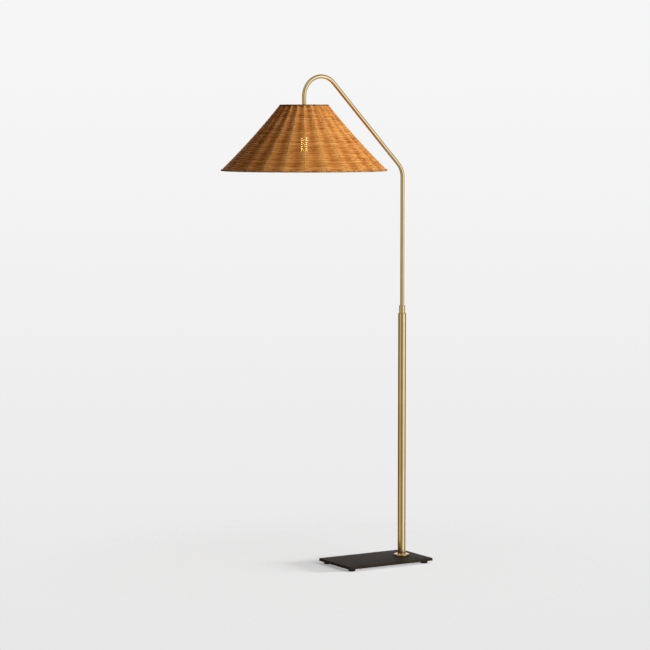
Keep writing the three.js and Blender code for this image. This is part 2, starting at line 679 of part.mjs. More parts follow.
const NUT_HEIGHT = 3;
const NUT_ACROSS_FLATS = 14;
const NUT_BOTTOM = CAP_TOP - CAP_WALL - SEAT_GAP - NUT_HEIGHT;
place('holder_nipple', sleeve(
  NIPPLE_BORE, NIPPLE_RADIUS, NIPPLE_BOTTOM, NIPPLE_TOP, SMALL_SIDES,
), steel, shadeGroup);
place('holder_nut', prism(
  hexagon(NUT_ACROSS_FLATS, NIPPLE_RADIUS + SEAT_GAP), NUT_BOTTOM, NUT_HEIGHT,
), steel, shadeGroup);
place('holder_cap', holderCap(), brass, shadeGroup);
place('holder_shell', holderShell(), brass, shadeGroup);
place('holder_liner', holderLiner(), liner, shadeGroup);
place('holder_insulator', insulator(), blackPlastic, shadeGroup);
place('holder_screw_shell', sleeve(
  SCREW_SHELL_BORE, SCREW_SHELL_BORE + SCREW_SHELL_WALL,
  HOLDER_MOUTH + 2 * LINER_INSET, INSULATOR_BOTTOM - SEAT_GAP,
), brass, shadeGroup);
place('holder_contact', rod(
  CONTACT_RADIUS, at(0, 0, BULB_CONTACT + SEAT_GAP), at(0, 0, INSULATOR_BOTTOM - SEAT_GAP),
), brass, shadeGroup);
place('switch_knob', switchKnob(), brass, shadeGroup);

// Bulb: drawn with its contact at zero and its glass downwards
const bulb = new THREE.Group();
bulb.position.z = BULB_CONTACT;
shadeGroup.add(bulb);

function bulbCap() {
  const cupRadius = BULB_CAP_RADIUS - 0.7;
  const cupFloor = -BULB_CAP_LENGTH + 5;
  const threadTurns = 3;
  const threadTop = -8;
  const threadDepth = 0.8;
  const pitch = 3.6;
  const shoulder = { radius: BULB_CAP_RADIUS - 1.5, height: -5 };
  const button = { radius: 5, height: -1.6 };
  const path = new THREE.Path();
  path.moveTo(0, cupFloor);
  path.lineTo(cupRadius, cupFloor);
  path.lineTo(cupRadius, -BULB_CAP_LENGTH);
  path.lineTo(BULB_CAP_RADIUS, -BULB_CAP_LENGTH);
  for (let i = threadTurns - 1; i >= 0; i -= 1) {
    path.lineTo(BULB_CAP_RADIUS - threadDepth, threadTop - (i + 0.5) * pitch);
    path.lineTo(BULB_CAP_RADIUS, threadTop - i * pitch);
  }
  path.lineTo(shoulder.radius, shoulder.height);
  path.lineTo(button.radius, button.height);
  path.quadraticCurveTo(button.radius, 0, 0, 0);
  return turned(path, BULB_SIDES);
}

// The envelope's radius at a distance below the contact: a neck, a swelling and a round end
const NECK_START = BULB_CAP_LENGTH - 4;
const NECK_END = 32;
const BULB_EQUATOR = BULB_LENGTH - BULB_RADIUS;

function envelopeRadius(down) {
  const neck = BULB_CAP_RADIUS - 1.2;
  const share = THREE.MathUtils.clamp((down - NECK_END) / (BULB_EQUATOR - NECK_END), 0, 1);
  return neck + (BULB_RADIUS - neck) * (1 - Math.cos(Math.PI * share)) / 2;
}

function bulbGlass() {
  const outer = [[envelopeRadius(NECK_START), NECK_START]];
  for (let i = 0; i <= BULB_STEPS; i += 1) {
    const down = NECK_END + (BULB_EQUATOR - NECK_END) * i / BULB_STEPS;
    outer.push([envelopeRadius(down), down]);
  }
  for (let i = 1; i <= BULB_STEPS; i += 1) {
    const angle = Math.PI / 2 * i / BULB_STEPS;
    outer.push([BULB_RADIUS * Math.cos(angle), BULB_EQUATOR + BULB_RADIUS * Math.sin(angle)]);
  }
  const thin = (BULB_RADIUS - BULB_GLASS) / BULB_RADIUS;
  const inner = outer.map(([radius, down]) => (
    [radius * thin, down > BULB_EQUATOR ? BULB_EQUATOR + (down - BULB_EQUATOR) * thin : down]
  ));
  const loop = [...outer.reverse(), ...inner];
  loop[0][0] = 0;
  loop[loop.length - 1][0] = 0;
  return turned(profile(loop.map(([radius, down]) => [radius, -down])), BULB_SIDES);
}

// The glass mount: a flare, a centre rod and wires that hold the filaments' ends
const UPPER_WIRES = FILAMENT_START - 1.3;
const LOWER_WIRES = FILAMENT_START + FILAMENT_LENGTH + 1.5;
const WIRE_RADIUS = 0.4;

function filamentPlace(i) {
  const angle = FILAMENT_TURN + i * Math.PI * 2 / FILAMENT_COUNT;
  return at(Math.cos(angle), Math.sin(angle), 0).multiplyScalar(FILAMENT_CIRCLE);
}

function bulbMount() {
  const top = NECK_START - WIRE_RADIUS;
  const flare = { radius: 9, neckRadius: 4, neckEnd: top + 6 };
  const press = { radius: 2.6, start: FILAMENT_START - 5, end: FILAMENT_START };
  const rodRadius = 1.1;
  const tip = LOWER_WIRES + 2 * WIRE_RADIUS;
  const stem = turned(profile([
    [0, -tip], [rodRadius, -tip], [rodRadius, -press.end - rodRadius], [press.radius, -press.end],
    [press.radius, -press.start], [flare.neckRadius, -flare.neckEnd], [flare.radius, -top], [0, -top],
  ]), TINY_SIDES);
  const wires = [];
  for (let i = 0; i < FILAMENT_COUNT; i += 1) {
    const wireRoot = at(0, 0, -(press.start + press.end) / 2);
    wires.push(rod(WIRE_RADIUS, wireRoot, filamentPlace(i).setZ(-UPPER_WIRES), WIRE_SIDES));
    wires.push(rod(WIRE_RADIUS, at(0, 0, -LOWER_WIRES), filamentPlace(i).setZ(-LOWER_WIRES), WIRE_SIDES));
  }
  return join(stem, ...wires);
}

place('bulb_cap', bulbCap(), brass, bulb);
place('bulb_glass', bulbGlass(), glass, bulb);
place('bulb_mount', bulbMount(), glass, bulb);
for (let i = 0; i < FILAMENT_COUNT; i += 1) {
  const top = filamentPlace(i).setZ(-FILAMENT_START);
  const bottom = filamentPlace(i).setZ(-FILAMENT_START - FILAMENT_LENGTH);
  place(`filament_${i + 1}`, rod(FILAMENT_RADIUS, bottom, top, TINY_SIDES), filament, bulb);
}

export default lamp;
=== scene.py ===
"""The looks of a rattan floor lamp: brass arm and column, black steel plate, woven shade, lit bulb.

Lengths are in millimetres in the build functions and become metres in make_piece. Places come from
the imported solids, in the row frame: +Z up, with the lamp's arm and shade towards -X.
"""

import json
import math

import bpy
import numpy as np
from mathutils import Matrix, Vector

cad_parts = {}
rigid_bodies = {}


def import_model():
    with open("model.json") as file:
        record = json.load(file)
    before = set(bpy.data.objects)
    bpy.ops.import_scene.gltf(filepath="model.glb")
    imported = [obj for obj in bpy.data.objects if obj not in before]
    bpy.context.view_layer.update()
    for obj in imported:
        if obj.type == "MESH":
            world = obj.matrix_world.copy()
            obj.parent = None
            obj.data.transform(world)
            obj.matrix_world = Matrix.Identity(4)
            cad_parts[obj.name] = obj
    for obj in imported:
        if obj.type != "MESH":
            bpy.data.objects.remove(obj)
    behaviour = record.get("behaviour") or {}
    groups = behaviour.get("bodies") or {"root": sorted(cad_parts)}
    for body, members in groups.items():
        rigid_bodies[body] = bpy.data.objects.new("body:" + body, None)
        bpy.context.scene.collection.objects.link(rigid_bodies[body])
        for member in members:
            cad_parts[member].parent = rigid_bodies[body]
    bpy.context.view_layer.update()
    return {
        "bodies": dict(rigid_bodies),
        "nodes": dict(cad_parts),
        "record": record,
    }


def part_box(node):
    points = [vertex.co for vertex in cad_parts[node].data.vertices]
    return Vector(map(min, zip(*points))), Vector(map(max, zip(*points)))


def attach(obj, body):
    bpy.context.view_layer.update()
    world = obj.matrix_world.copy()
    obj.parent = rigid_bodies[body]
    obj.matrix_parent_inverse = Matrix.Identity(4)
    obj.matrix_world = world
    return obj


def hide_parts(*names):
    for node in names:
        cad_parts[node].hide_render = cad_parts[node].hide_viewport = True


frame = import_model()

MM = 0.001
TURN = 2 * math.pi


def corners(node):
    """Lowest and highest corner of a CAD node, as arrays in millimetres."""
    low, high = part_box(node)
    return np.array(low) / MM, np.array(high) / MM


def middle(node):
    """Middle of a CAD node's box, in millimetres."""
    low, high = corners(node)
    return (low + high) / 2


def half_size(node):
    """Half of a CAD node's box along each axis, in millimetres."""
    low, high = corners(node)
    return (high - low) / 2


COLUMN_X = middle("column_flange")[0]
SHADE_X = middle("shade_bottom_rim")[0]

# Driving values that a box doesn't give, with lengths in millimetres
TUBE_WALL = 1.2
SLANT_FROM_VERTICAL = math.radians(43.4)
SLANT_MEETS_COLUMN_AXIS = 1238.6
KNEE_RADIUS = 60
HOOK_RADIUS = 61
SHADE_TOP = 1438
SHADE_BOTTOM = 1240
SHADE_TOP_RADIUS = 76
SHADE_BOTTOM_RADIUS = 253.5
SHADE_SAG = 5.5
STAKE_COUNT = 24


# Mesh building. A shape is (points in millimetres, faces, uv of each corner of each face).


def placed(name, data):
    """A new object in the scene."""
    made = bpy.data.objects.new(name, data)
    bpy.context.scene.collection.objects.link(made)
    return made


def shade_smooth(piece, angle):
    """Smooth faces, with sharp edges where two faces meet at more than an angle in degrees."""
    mesh = piece.data
    mesh.polygons.foreach_set("use_smooth", [True] * len(mesh.polygons))
    mesh.set_sharp_from_angle(angle=math.radians(angle))


def make_piece(name, shape, material, body, nodes=(), tones=None, angle=35):
    """A smooth mesh piece that rides on a body and stands for some CAD nodes.

    tones has one value for each point, by which the strands of cane differ; on the weavers it also holds
    painted shading, darker in the valleys between ribs.
    """
    points, faces, uv = shape
    mesh = bpy.data.meshes.new(name)
    places = np.asarray(points, float) * MM
    mesh.from_pydata(places.tolist(), [], [list(map(int, face)) for face in faces])
    if uv is not None:
        layer = mesh.uv_layers.new(name="grain")
        layer.data.foreach_set("uv", np.asarray(uv, np.float32).ravel())
    if tones is not None:
        attribute = mesh.attributes.new("tone", "FLOAT", "POINT")
        attribute.data.foreach_set("value", np.asarray(tones, np.float32))
    mesh.update()
    mesh.materials.append(material)
    piece = placed(name, mesh)
    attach(piece, body)
    if nodes:
        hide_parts(*nodes)
    shade_smooth(piece, angle)
    return piece


def grid_faces(rows, columns, close_rows=True):
    """Quads between rings of points, with the (row, column) of each corner.

    Each row is a ring that closes on itself. With close_rows the last row also joins the first.
    """
    faces = []
    places = []
    for i in range(rows if close_rows else rows - 1):
        for j in range(columns):
            square = [(i, j), (i, j + 1), (i + 1, j + 1), (i + 1, j)]
            faces.append([(a % rows) * columns + b % columns for a, b in square])
            places.extend(square)
    return faces, np.array(places)


def end_faces(rows, columns):
    """The two faces that close the first and the last ring of a grid."""
    last = (rows - 1) * columns
    return [list(range(columns))[::-1], list(range(last, last + columns))]


def turned_round(faces, places):
    """The same quads with their corners in the other order, so that they look the other way."""
    return [face[::-1] for face in faces], places.reshape(-1, 4, 2)[:, ::-1].reshape(-1, 2)


def arc(centre, radius, start, end, steps):
    """Points of an arc from start to end, in degrees."""
    angles = np.radians(np.linspace(start, end, steps + 1))
    return [(centre[0] + radius * math.cos(a), centre[1] + radius * math.sin(a)) for a in angles]


def ring_vectors(count):
    """Even angles round an upright axis, with the unit vectors out, around and up at each."""
    angles = np.arange(count) * TURN / count
    out = np.stack([np.cos(angles), np.sin(angles), 0 * angles], axis=-1)
    around = np.stack([-np.sin(angles), np.cos(angles), 0 * angles], axis=-1)
    up = np.tile((0.0, 0.0, 1.0), (count, 1))
    return angles, out, around, up


def turned(profile, centre, sides=64, across=None):
    """The shape of a profile of (radius, height) turned about a line.

    The profile closes on itself, or starts and ends on the axis. It goes out along its foot and up
    its outer side, so that the faces look outward. The axis is Z through centre, or the direction
    across, along which the heights are then measured.
    """
    outline = np.array(profile, float)
    steps = np.hypot(*np.diff(np.vstack([outline, outline[:1]]), axis=0).T)
    along = np.concatenate([[0], np.cumsum(steps)])
    on_axis = outline[0][0] == 0
    angles = np.arange(sides) * TURN / sides
    radius, height = outline[:, :1], outline[:, 1:]
    rings = [radius * np.cos(angles), radius * np.sin(angles), height + 0 * angles]
    points = np.stack(rings, axis=-1).reshape(-1, 3)
    if across is not None:
        turn = Vector((0, 0, 1)).rotation_difference(Vector(across)).to_matrix()
        points = points @ np.array(turn).T
    faces, places = grid_faces(len(outline), sides, close_rows=not on_axis)
    reach = outline[:, 0].max()
    uv = np.stack([places[:, 1] * TURN / sides * reach, along[places[:, 0]]], axis=1) * MM
    return points + np.array(centre), faces, uv


def sweep(path, normals, binormals, half_widths, half_depths, sides, closed):
    """An oval tube along a path. Widths lie along the binormals and depths along the normals."""
    path = np.asarray(path, float)
    count = len(path)
    angles = np.arange(sides) * TURN / sides
    widths = np.broadcast_to(np.asarray(half_widths, float), (count,))[:, None, None]
    depths = np.broadcast_to(np.asarray(half_depths, float), (count,))[:, None, None]
    # The seam lies on the inner side, where the angle is 0
    offset = -np.cos(angles)[None, :, None] * depths * normals[:, None, :]
    offset = offset + np.sin(angles)[None, :, None] * widths * binormals[:, None, :]
    points = (path[:, None, :] + offset).reshape(-1, 3)
    faces, places = grid_faces(count, sides, close_rows=closed)
    ends = end_faces(count, sides)
    # Where the binormals, normals and path are left-handed, the faces would look inward
    if np.dot(np.cross(binormals[0], normals[0]), path[1] - path[0]) < 0:
        faces, places = turned_round(faces, places)
        ends = [end[::-1] for end in ends]
    gaps = np.linalg.norm(np.diff(np.vstack([path, path[:1]]), axis=0), axis=1)
    along = np.concatenate([[0], np.cumsum(gaps)]) * MM
    uv = np.stack([along[places[:, 0]], places[:, 1] / sides], axis=1)
    if not closed:
        faces += ends
        uv = np.vstack([uv, np.zeros((2 * sides, 2))])
    return points, faces, uv


def hoop(centre, radius, wire, count, sides):
    """A level ring of round wire."""
    _, out, _, up = ring_vectors(count)
    return sweep(centre + radius * out, out, up, wire, wire, sides, closed=True)


def joined(shapes):
    """Several shapes as one."""
    points, face_lists, uv = zip(*shapes)
    faces = []
    start = 0
    for own_points, own_faces in zip(points, face_lists):
        faces += [[corner + start for corner in face] for face in own_faces]
        start += len(own_points)
    return np.vstack(points), faces, np.vstack(uv)


def own_grain(shape, index):
    """A swept shape with its uv moved up by whole rounds, so that its grain differs from others'."""
    points, faces, uv = shape
    return points, faces, uv + np.array([0, index])


# Materials

# Most values of a noise lie between these
NOISE_LOW = 0.3
NOISE_HIGH = 0.7

# How often the marks on cane repeat: in a metre along the strand, and once round it
FIBRES = (60.0, 14.0, 1.0)
BLOTCHES = (24.0, 1.7, 1.0)
SCARS = (45.0, 2.3, 1.0)
FIBRE_SHARE = 0.5
BLOTCH_SHARE = 1.0


class Shader:
    """A material's node tree with short calls for the nodes that are used here."""

    def __init__(self, owner):
        owner.use_nodes = True
        self.material = owner
        self.nodes = owner.node_tree.nodes
        self.surface = self.nodes.get("Principled BSDF")

    def node(self, kind, **settings):
        """A new node of a kind, with some settings."""
        made = self.nodes.new(kind)
        for key, value in settings.items():
            setattr(made, key, value)
        return made

    def put(self, socket, value):
        """Links a socket to an output, or sets it to a plain value."""
        if isinstance(value, bpy.types.NodeSocket):
            self.material.node_tree.links.new(value, socket)
        else:
            socket.default_value = value

    def fill(self, node, **values):
        """Fills a node's sockets by name; an underscore in a name stands for a space."""
        for key, value in values.items():
            self.put(node.inputs[key.replace("_", " ")], value)
        return node

    def fill_in_order(self, node, *values):
        for socket, value in zip(node.inputs, values):
            self.put(socket, value)
        return node

    def set(self, **values):
        self.fill(self.surface, **values)

    def place(self):
        return self.node("ShaderNodeTexCoord").outputs["Object"]

    def grain(self):
        return self.node("ShaderNodeUVMap", uv_map="grain").outputs["UV"]

    def rays(self, kind):
        """1 for the rays of a kind, 0 for the others."""
        return self.node("ShaderNodeLightPath").outputs[f"Is {kind} Ray"]

    def noise(self, vector, scale, detail, roughness=0.5):
        made = self.node("ShaderNodeTexNoise")
        self.fill(made, Vector=vector, Scale=scale, Detail=detail, Roughness=roughness)
        return made.outputs["Fac"]

    def streaks(self, vector, scale, detail, roughness=0.5):
        """A noise with its own scale along each axis."""
        scaled = self.fill(self.node("ShaderNodeMapping"), Vector=vector, Scale=scale)
        return self.noise(scaled.outputs["Vector"], 1.0, detail, roughness)

    def spread(self, value, low, high, to_low=0.0, to_high=1.0, interpolation="LINEAR"):
        """A value taken from one range to another, held at its ends."""
        made = self.node("ShaderNodeMapRange", interpolation_type=interpolation)
        return self.fill_in_order(made, value, low, high, to_low, to_high).outputs["Result"]

    def math(self, operation, *values, kind="ShaderNodeMath"):
        made = self.node(kind, operation=operation)
        return self.fill_in_order(made, *values).outputs["Value"]

    def vector_math(self, operation, first, second):
        return self.math(operation, first, second, kind="ShaderNodeVectorMath")

    def ramp(self, factor, *stops):
        """Colours at places from 0 to 1, each stop given as (place, red, green, blue)."""
        made = self.node("ShaderNodeValToRGB")
        elements = made.color_ramp.elements
        while len(elements) < len(stops):
            elements.new(0.5)
        for element, (place, *colour) in zip(elements, stops):
            element.position = place
            element.color = (*colour, 1)
        self.put(made.inputs["Fac"], factor)
        return made.outputs["Color"]

    def noisy(self, noise, low, high):
        """A number that a noise moves between two values."""
        return self.spread(noise, NOISE_LOW, NOISE_HIGH, low, high)

    def noisy_colour(self, noise, low, high):
        """A colour that a noise moves between two others."""
        return self.ramp(noise, (NOISE_LOW, *low), (NOISE_HIGH, *high))

    def mix(self, factor, first, second, blend="MIX"):
        """A mix of two colours. Inputs 6 and 7 and output 2 are the node's colour sockets."""
        made = self.node("ShaderNodeMix", data_type="RGBA", blend_type=blend)
        self.put(made.inputs["Factor"], factor)
        self.put(made.inputs[6], first)
        self.put(made.inputs[7], second)
        return made.outputs[2]

    def bump(self, height, distance, strength):
        made = self.node("ShaderNodeBump")
        self.fill(made, Strength=strength, Distance=distance, Height=height)
        self.set(Normal=made.outputs["Normal"])


def brushed_metal(name, light, dark, roughness, vector_of, fine):
    """Metal with fine streaks along one direction and a slow change of tone."""
    shader = Shader(bpy.data.materials.new(name))
    streaks = shader.streaks(vector_of(shader), fine, detail=3)
    clouds = shader.noise(shader.place(), 14.0, detail=3)
    halves = [shader.math("MULTIPLY", part, 0.5) for part in (streaks, clouds)]
    tone = shader.math("ADD", *halves)
    shader.set(
        Base_Color=shader.ramp(tone, (0.35, *dark), (0.62, *light)),
        Metallic=1.0,
        Roughness=shader.noisy(tone, roughness - 0.05, roughness + 0.06),
    )
    shader.bump(streaks, 0.00002, 0.35)
    return shader.material


def brass(name="brass", on_uv=True):
    """Brass with streaks along its uv, or along Z on the solids, which have no uv."""
    return brushed_metal(
        name,
        light=(0.84, 0.625, 0.285),
        dark=(0.70, 0.49, 0.20),
        roughness=0.17,
        vector_of=Shader.grain if on_uv else Shader.place,
        fine=(2600.0, 60.0, 1.0) if on_uv else (900.0, 900.0, 60.0),
    )


def zinc():
    """Zinc-plated steel, with a grain that has no direction."""
    return brushed_metal(
        "steel",
        light=(0.62, 0.62, 0.61),
        dark=(0.45, 0.45, 0.46),
        roughness=0.36,
        vector_of=Shader.place,
        fine=(700.0, 700.0, 700.0),
    )


def powder_coat():
    """The plate's nearly black coat, with a fine grain."""
    shader = Shader(bpy.data.materials.new("black_steel"))
    place = shader.place()
    grain = shader.noise(place, 1500.0, detail=2)
    clouds = shader.noise(place, 22.0, detail=3)
    shader.set(
        Base_Color=shader.noisy_colour(clouds, (0.021, 0.0145, 0.008), (0.031, 0.022, 0.013)),
        Roughness=shader.noisy(grain, 0.5, 0.65),
        Specular_IOR_Level=0.10,
    )
    shader.bump(grain, 0.00004, 0.5)
    return shader.material


def moulded(name, low, high, roughness, gloss=0.4):
    """Moulded plastic, rubber or pressed fibre: a fine grain and a slow change of tone."""
    shader = Shader(bpy.data.materials.new(name))
    place = shader.place()
    grain = shader.noise(place, 420.0, detail=3)
    clouds = shader.noise(place, 35.0, detail=2)
    shader.set(
        Base_Color=shader.noisy_colour(clouds, low, high),
        Roughness=shader.noisy(grain, roughness - 0.06, roughness + 0.08),
        Specular_IOR_Level=gloss,
    )
    shader.bump(grain, 0.00006, 0.4)
    return shader.material


def rattan(name, dark, middle_tone, light):
    """Stained cane: each strand has its own tone, with long fibres, blotches and dark scars. On the
    weavers the tone also carries painted shading, darker in the valleys between ribs.
    """
    shader = Shader(bpy.data.materials.new(name))
    grain = shader.grain()
    fibres = shader.streaks(grain, FIBRES, detail=4, roughness=0.65)
    blotches = shader.streaks(grain, BLOTCHES, detail=3, roughness=0.6)
    scars = shader.streaks(grain, SCARS, detail=2)
    tone = shader.node("ShaderNodeAttribute", attribute_name="tone").outputs["Fac"]
    for noise, share in ((fibres, FIBRE_SHARE), (blotches, BLOTCH_SHARE)):
        tone = shader.math("MULTIPLY_ADD", shader.math("SUBTRACT", noise, 0.5), share, tone)
    colour = shader.ramp(tone, (0.12, *dark), (0.5, *middle_tone), (0.88, *light))
    scar = shader.spread(scars, 0.60, 0.70, 0.0, 0.8)
    shader.set(
        Base_Color=shader.mix(scar, colour, (*[channel * 0.5 for channel in dark], 1)),
        Roughness=shader.noisy(fibres, 0.5, 0.7),
        Specular_IOR_Level=0.12,
    )
    shader.bump(fibres, 0.00018, 0.5)
    return shader.material


def clear_glass():
    """The bulb's glass, with a trace of smears."""
    shader = Shader(bpy.data.materials.new("glass"))
    smears = shader.noise(shader.place(), 35.0, detail=3)
    shader.set(
        Base_Color=(0.97, 0.98, 0.97, 1),
        Transmission_Weight=1.0,
        IOR=1.45,
        Roughness=shader.spread(smears, 0.45, 0.75, 0.0, 0.05),
    )
    return shader.material


def glowing():
    """A lit filament: an amber stick whose glow has fine specks."""
    shader = Shader(bpy.data.materials.new("filament"))
    specks = shader.noise(shader.place(), 900.0, detail=2)
    shader.set(
        Base_Color=(0.9, 0.55, 0.15, 1),
        Roughness=0.5,
        Emission_Color=shader.noisy_colour(specks, (1.0, 0.50, 0.13), (1.0, 0.60, 0.20)),
        Emission_Strength=50.0,
    )
    return shader.material


BRASS = brass()
BRASS_NODE = brass("brass_inside", on_uv=False)
STEEL = zinc()
BLACK_STEEL = powder_coat()
RUBBER = moulded("rubber", (0.006, 0.006, 0.006), (0.012, 0.011, 0.011), 0.75, gloss=0.15)
BLACK_PLASTIC = moulded("black_plastic", (0.012, 0.012, 0.012), (0.020, 0.020, 0.020), 0.42)
NYLON = moulded("nylon", (0.70, 0.68, 0.62), (0.80, 0.78, 0.72), 0.48)
FIBRE = moulded("fibre_liner", (0.15, 0.11, 0.07), (0.24, 0.18, 0.12), 0.85)
GLASS = clear_glass()
FILAMENT = glowing()
CANE = rattan("rattan", (0.34, 0.098, 0.019), (0.62, 0.26, 0.058), (0.84, 0.47, 0.152))
DARK_CANE = rattan("rattan_dark", (0.12, 0.04, 0.015), (0.27, 0.11, 0.038), (0.40, 0.18, 0.065))
RIM_CANE = rattan("rattan_rim", (0.26, 0.095, 0.03), (0.55, 0.26, 0.085), (0.74, 0.43, 0.17))


# Stand: plate, feet, flange, column and ferrule

PLATE_BEVEL = 0.9
PLATE_CORNER = 5.0
BOLT_CLEARANCE = 5.2
OUTLET_HOLE = 6.0
DRILL_PAST = 5.0
FIT_GAP = 0.3
STAND_SIDES = 96
COLUMN_AXIS = (COLUMN_X, 0, 0)
TO_BACK = (0, 1, 0)
FOOT_NAMES = ("front_left", "front_right", "back_left", "back_right")


def cut(piece, shape):
    """Cuts a closed shape out of a piece's mesh."""
    points, faces, _ = shape
    mesh = bpy.data.meshes.new("tool")
    mesh.from_pydata((points * MM).tolist(), [], faces)
    tool = placed("tool", mesh)
    modifier = piece.modifiers.new("cut", "BOOLEAN")
    modifier.object = tool
    modifier.solver = "EXACT"
    bpy.context.view_layer.update()
    shown = piece.evaluated_get(bpy.context.evaluated_depsgraph_get())
    result = bpy.data.meshes.new_from_object(shown)
    piece.modifiers.remove(modifier)
    old = piece.data
    result.name = old.name
    piece.data = result
    bpy.data.meshes.remove(old)
    bpy.data.objects.remove(tool)
    bpy.data.meshes.remove(mesh)


def drill(radius, reach, centre, across=None):
    """A round cutter that starts at centre and goes up, or along the direction across."""
    end = reach + DRILL_PAST
    profile = [(0, 0), (radius, 0), (radius, end), (0, end)]
    return turned(profile, centre, sides=32, across=across)


def plate_outline(low, high, inset):
    """The plate's rounded rectangle, drawn in by an inset."""
    left, front = low[0] + PLATE_CORNER, low[1] + PLATE_CORNER
    right, back = high[0] - PLATE_CORNER, high[1] - PLATE_CORNER
    centres = ((right, front, -90), (right, back, 0), (left, back, 90), (left, front, 180))
    outline = []
    for x, y, start in centres:
        outline += arc((x, y), PLATE_CORNER - inset, start, start + 90, 8)
    return outline


def base_plate():
    """The coated plate, with its upper and lower edges rounded and a hole for the bolt."""
    low, high = corners("base_plate")
    bevel = arc((PLATE_BEVEL, PLATE_BEVEL), PLATE_BEVEL, 270, 180, 4)
    levels = [(inset, low[2] + up) for inset, up in bevel]
    levels += [(inset, high[2] - down) for inset, down in reversed(bevel)]
    points = [(x, y, z) for inset, z in levels for x, y in plate_outline(low, high, inset)]
    rows, columns = len(levels), len(points) // len(levels)
    faces, _ = grid_faces(rows, columns, close_rows=False)
    shape = (points, faces + end_faces(rows, columns), None)
    plate = make_piece("base_plate_coated", shape, BLACK_STEEL, "stand", ["base_plate"])
    cut(plate, drill(BOLT_CLEARANCE, high[2], COLUMN_AXIS))
    shade_smooth(plate, 40)


def rubber_foot(corner):
    """A foot that narrows to its rounded sole, with a recess for the head of its screw."""
    node = f"foot_{corner}"
    x, y, _ = middle(node)
    radius = half_size(node)[0]
    top = corners(node)[1][2]
    recess, recess_depth, recess_edge, screw_hole = 5.2, 3.9, 0.4, 2.5
    sole = radius - 1.2
    sole_edge = 1.2
    side, top_edge, top_chamfer = radius - 0.3, radius - 0.8, 0.6
    mouth = (recess + recess_edge, recess_edge)
    profile = [(recess, recess_edge), *arc(mouth, recess_edge, 180, 270, 3)[1:]]
    profile += arc((sole - sole_edge, sole_edge), sole_edge, -90, 0, 5)
    profile += [(side, top - top_chamfer), (top_edge, top), (screw_hole, top)]
    profile += [(screw_hole, recess_depth), (recess, recess_depth)]
    shape = turned(profile, (x, y, 0), sides=40)
    make_piece(f"{node}_moulded", shape, RUBBER, "stand", [node])


def brass_turning(name, profile, centre, body, node, sides, angle=35):
    """A brass piece that is turned about an upright axis."""
    shape = turned(profile, centre, sides)
    return make_piece(name, shape, BRASS, body, [node], angle=angle)


def flange():
    """A low disc with a rounded upper edge, round the foot of the column."""
    low, high = corners("column_flange")
    radius = half_size("column_flange")[0]
    inner = corners("column_tube")[1][0] - COLUMN_X + FIT_GAP
    upper_edge, lower_edge, mouth = 2.2, 0.4, 0.5
    profile = [(inner, low[2]), (radius - lower_edge, low[2]), (radius, low[2] + lower_edge)]
    profile += arc((radius - upper_edge, high[2] - upper_edge), upper_edge, 0, 90, 8)
    profile += [(inner + mouth, high[2]), (inner, high[2] - mouth)]
    brass_turning("column_flange_turned", profile, COLUMN_AXIS, "stand", "column_flange", STAND_SIDES)


def column():
    """The column tube, with the outlet for the cord drilled through its back."""
    low, high = corners("column_tube")
    outer = high[0] - COLUMN_X
    inner = outer - TUBE_WALL
    edge = 0.3
    profile = [(inner, low[2]), (outer, low[2]), (outer, high[2] - edge)]
    profile += [(outer - edge, high[2]), (inner, high[2])]
    tube = brass_turning("column_tube_brushed", profile, COLUMN_AXIS, "stand", "column_tube", STAND_SIDES)
    outlet = (COLUMN_X, 0, middle("cord_outlet_bushing")[2])
    cut(tube, drill(OUTLET_HOLE, outer, outlet, TO_BACK))
    shade_smooth(tube, 35)


def outlet_bushing():
    """A moulded bushing with a rounded collar, set in the column's outlet."""
    node = "cord_outlet_bushing"
    low, high = corners(node)
    inside, face = low[1], high[1]
    collar = half_size(node)[2]
    bore, neck, bore_edge = 4.0, 5.7, 0.3
    collar_round, mouth_round, collar_sink = 1.4, 0.8, 2.2
    seat = corners("column_tube")[1][1] - collar_sink
    profile = [(bore, inside + bore_edge), (bore + bore_edge, inside), (neck, inside)]
    profile += [(neck, seat), (collar, seat)]
    profile += arc((collar - collar_round, face - collar_round), collar_round, 0, 90, 6)
    profile += arc((bore + mouth_round, face - mouth_round), mouth_round, 90, 180, 4)
    shape = turned(profile, (COLUMN_X, 0, middle(node)[2]), sides=48, across=TO_BACK)
    make_piece(f"{node}_moulded", shape, BLACK_PLASTIC, "stand", [node])


def ferrule():
    """A spigot in the column, a rounded lip on top of it, and a neck that the arm comes out of."""
    low, high = corners("ferrule")
    seat = corners("column_tube")[1][2] + FIT_GAP
    top = high[2]
    lip = high[0] - COLUMN_X
    neck, spigot, bore, arm_hole = 9.525, 11.2, 8.525, 6.65
    crown, spigot_edge, lip_edge, mouth = 1.2, 0.5, 0.2, 0.3
    lip_rise, lip_round, fillet, neck_round = 0.6, 1.5, 0.7, 1.3
    ledge = seat + lip_rise + lip_round
    profile = [(bore, low[2]), (spigot - spigot_edge, low[2]), (spigot, low[2] + spigot_edge)]
    profile += [(spigot, seat), (lip - lip_edge, seat), (lip, seat + lip_edge)]
    profile += arc((lip - lip_round, seat + lip_rise), lip_round, 0, 90, 8)
    profile += arc((neck + fillet, ledge + fillet), fillet, 270, 180, 5)
    profile += arc((neck - neck_round, top - neck_round), neck_round, 0, 90, 8)
    profile += [(arm_hole + mouth, top), (arm_hole, top - mouth)]
    profile += [(arm_hole, top - crown), (bore, top - crown)]
    brass_turning("ferrule_turned", profile, COLUMN_AXIS, "stand", "ferrule", STAND_SIDES)


# Arm: the same path as the solid's, with finer bends

ARM_LEG_END = 1424.0
ARM_SIDES = 48
KNEE_STEPS = 20
HOOK_STEPS = 48


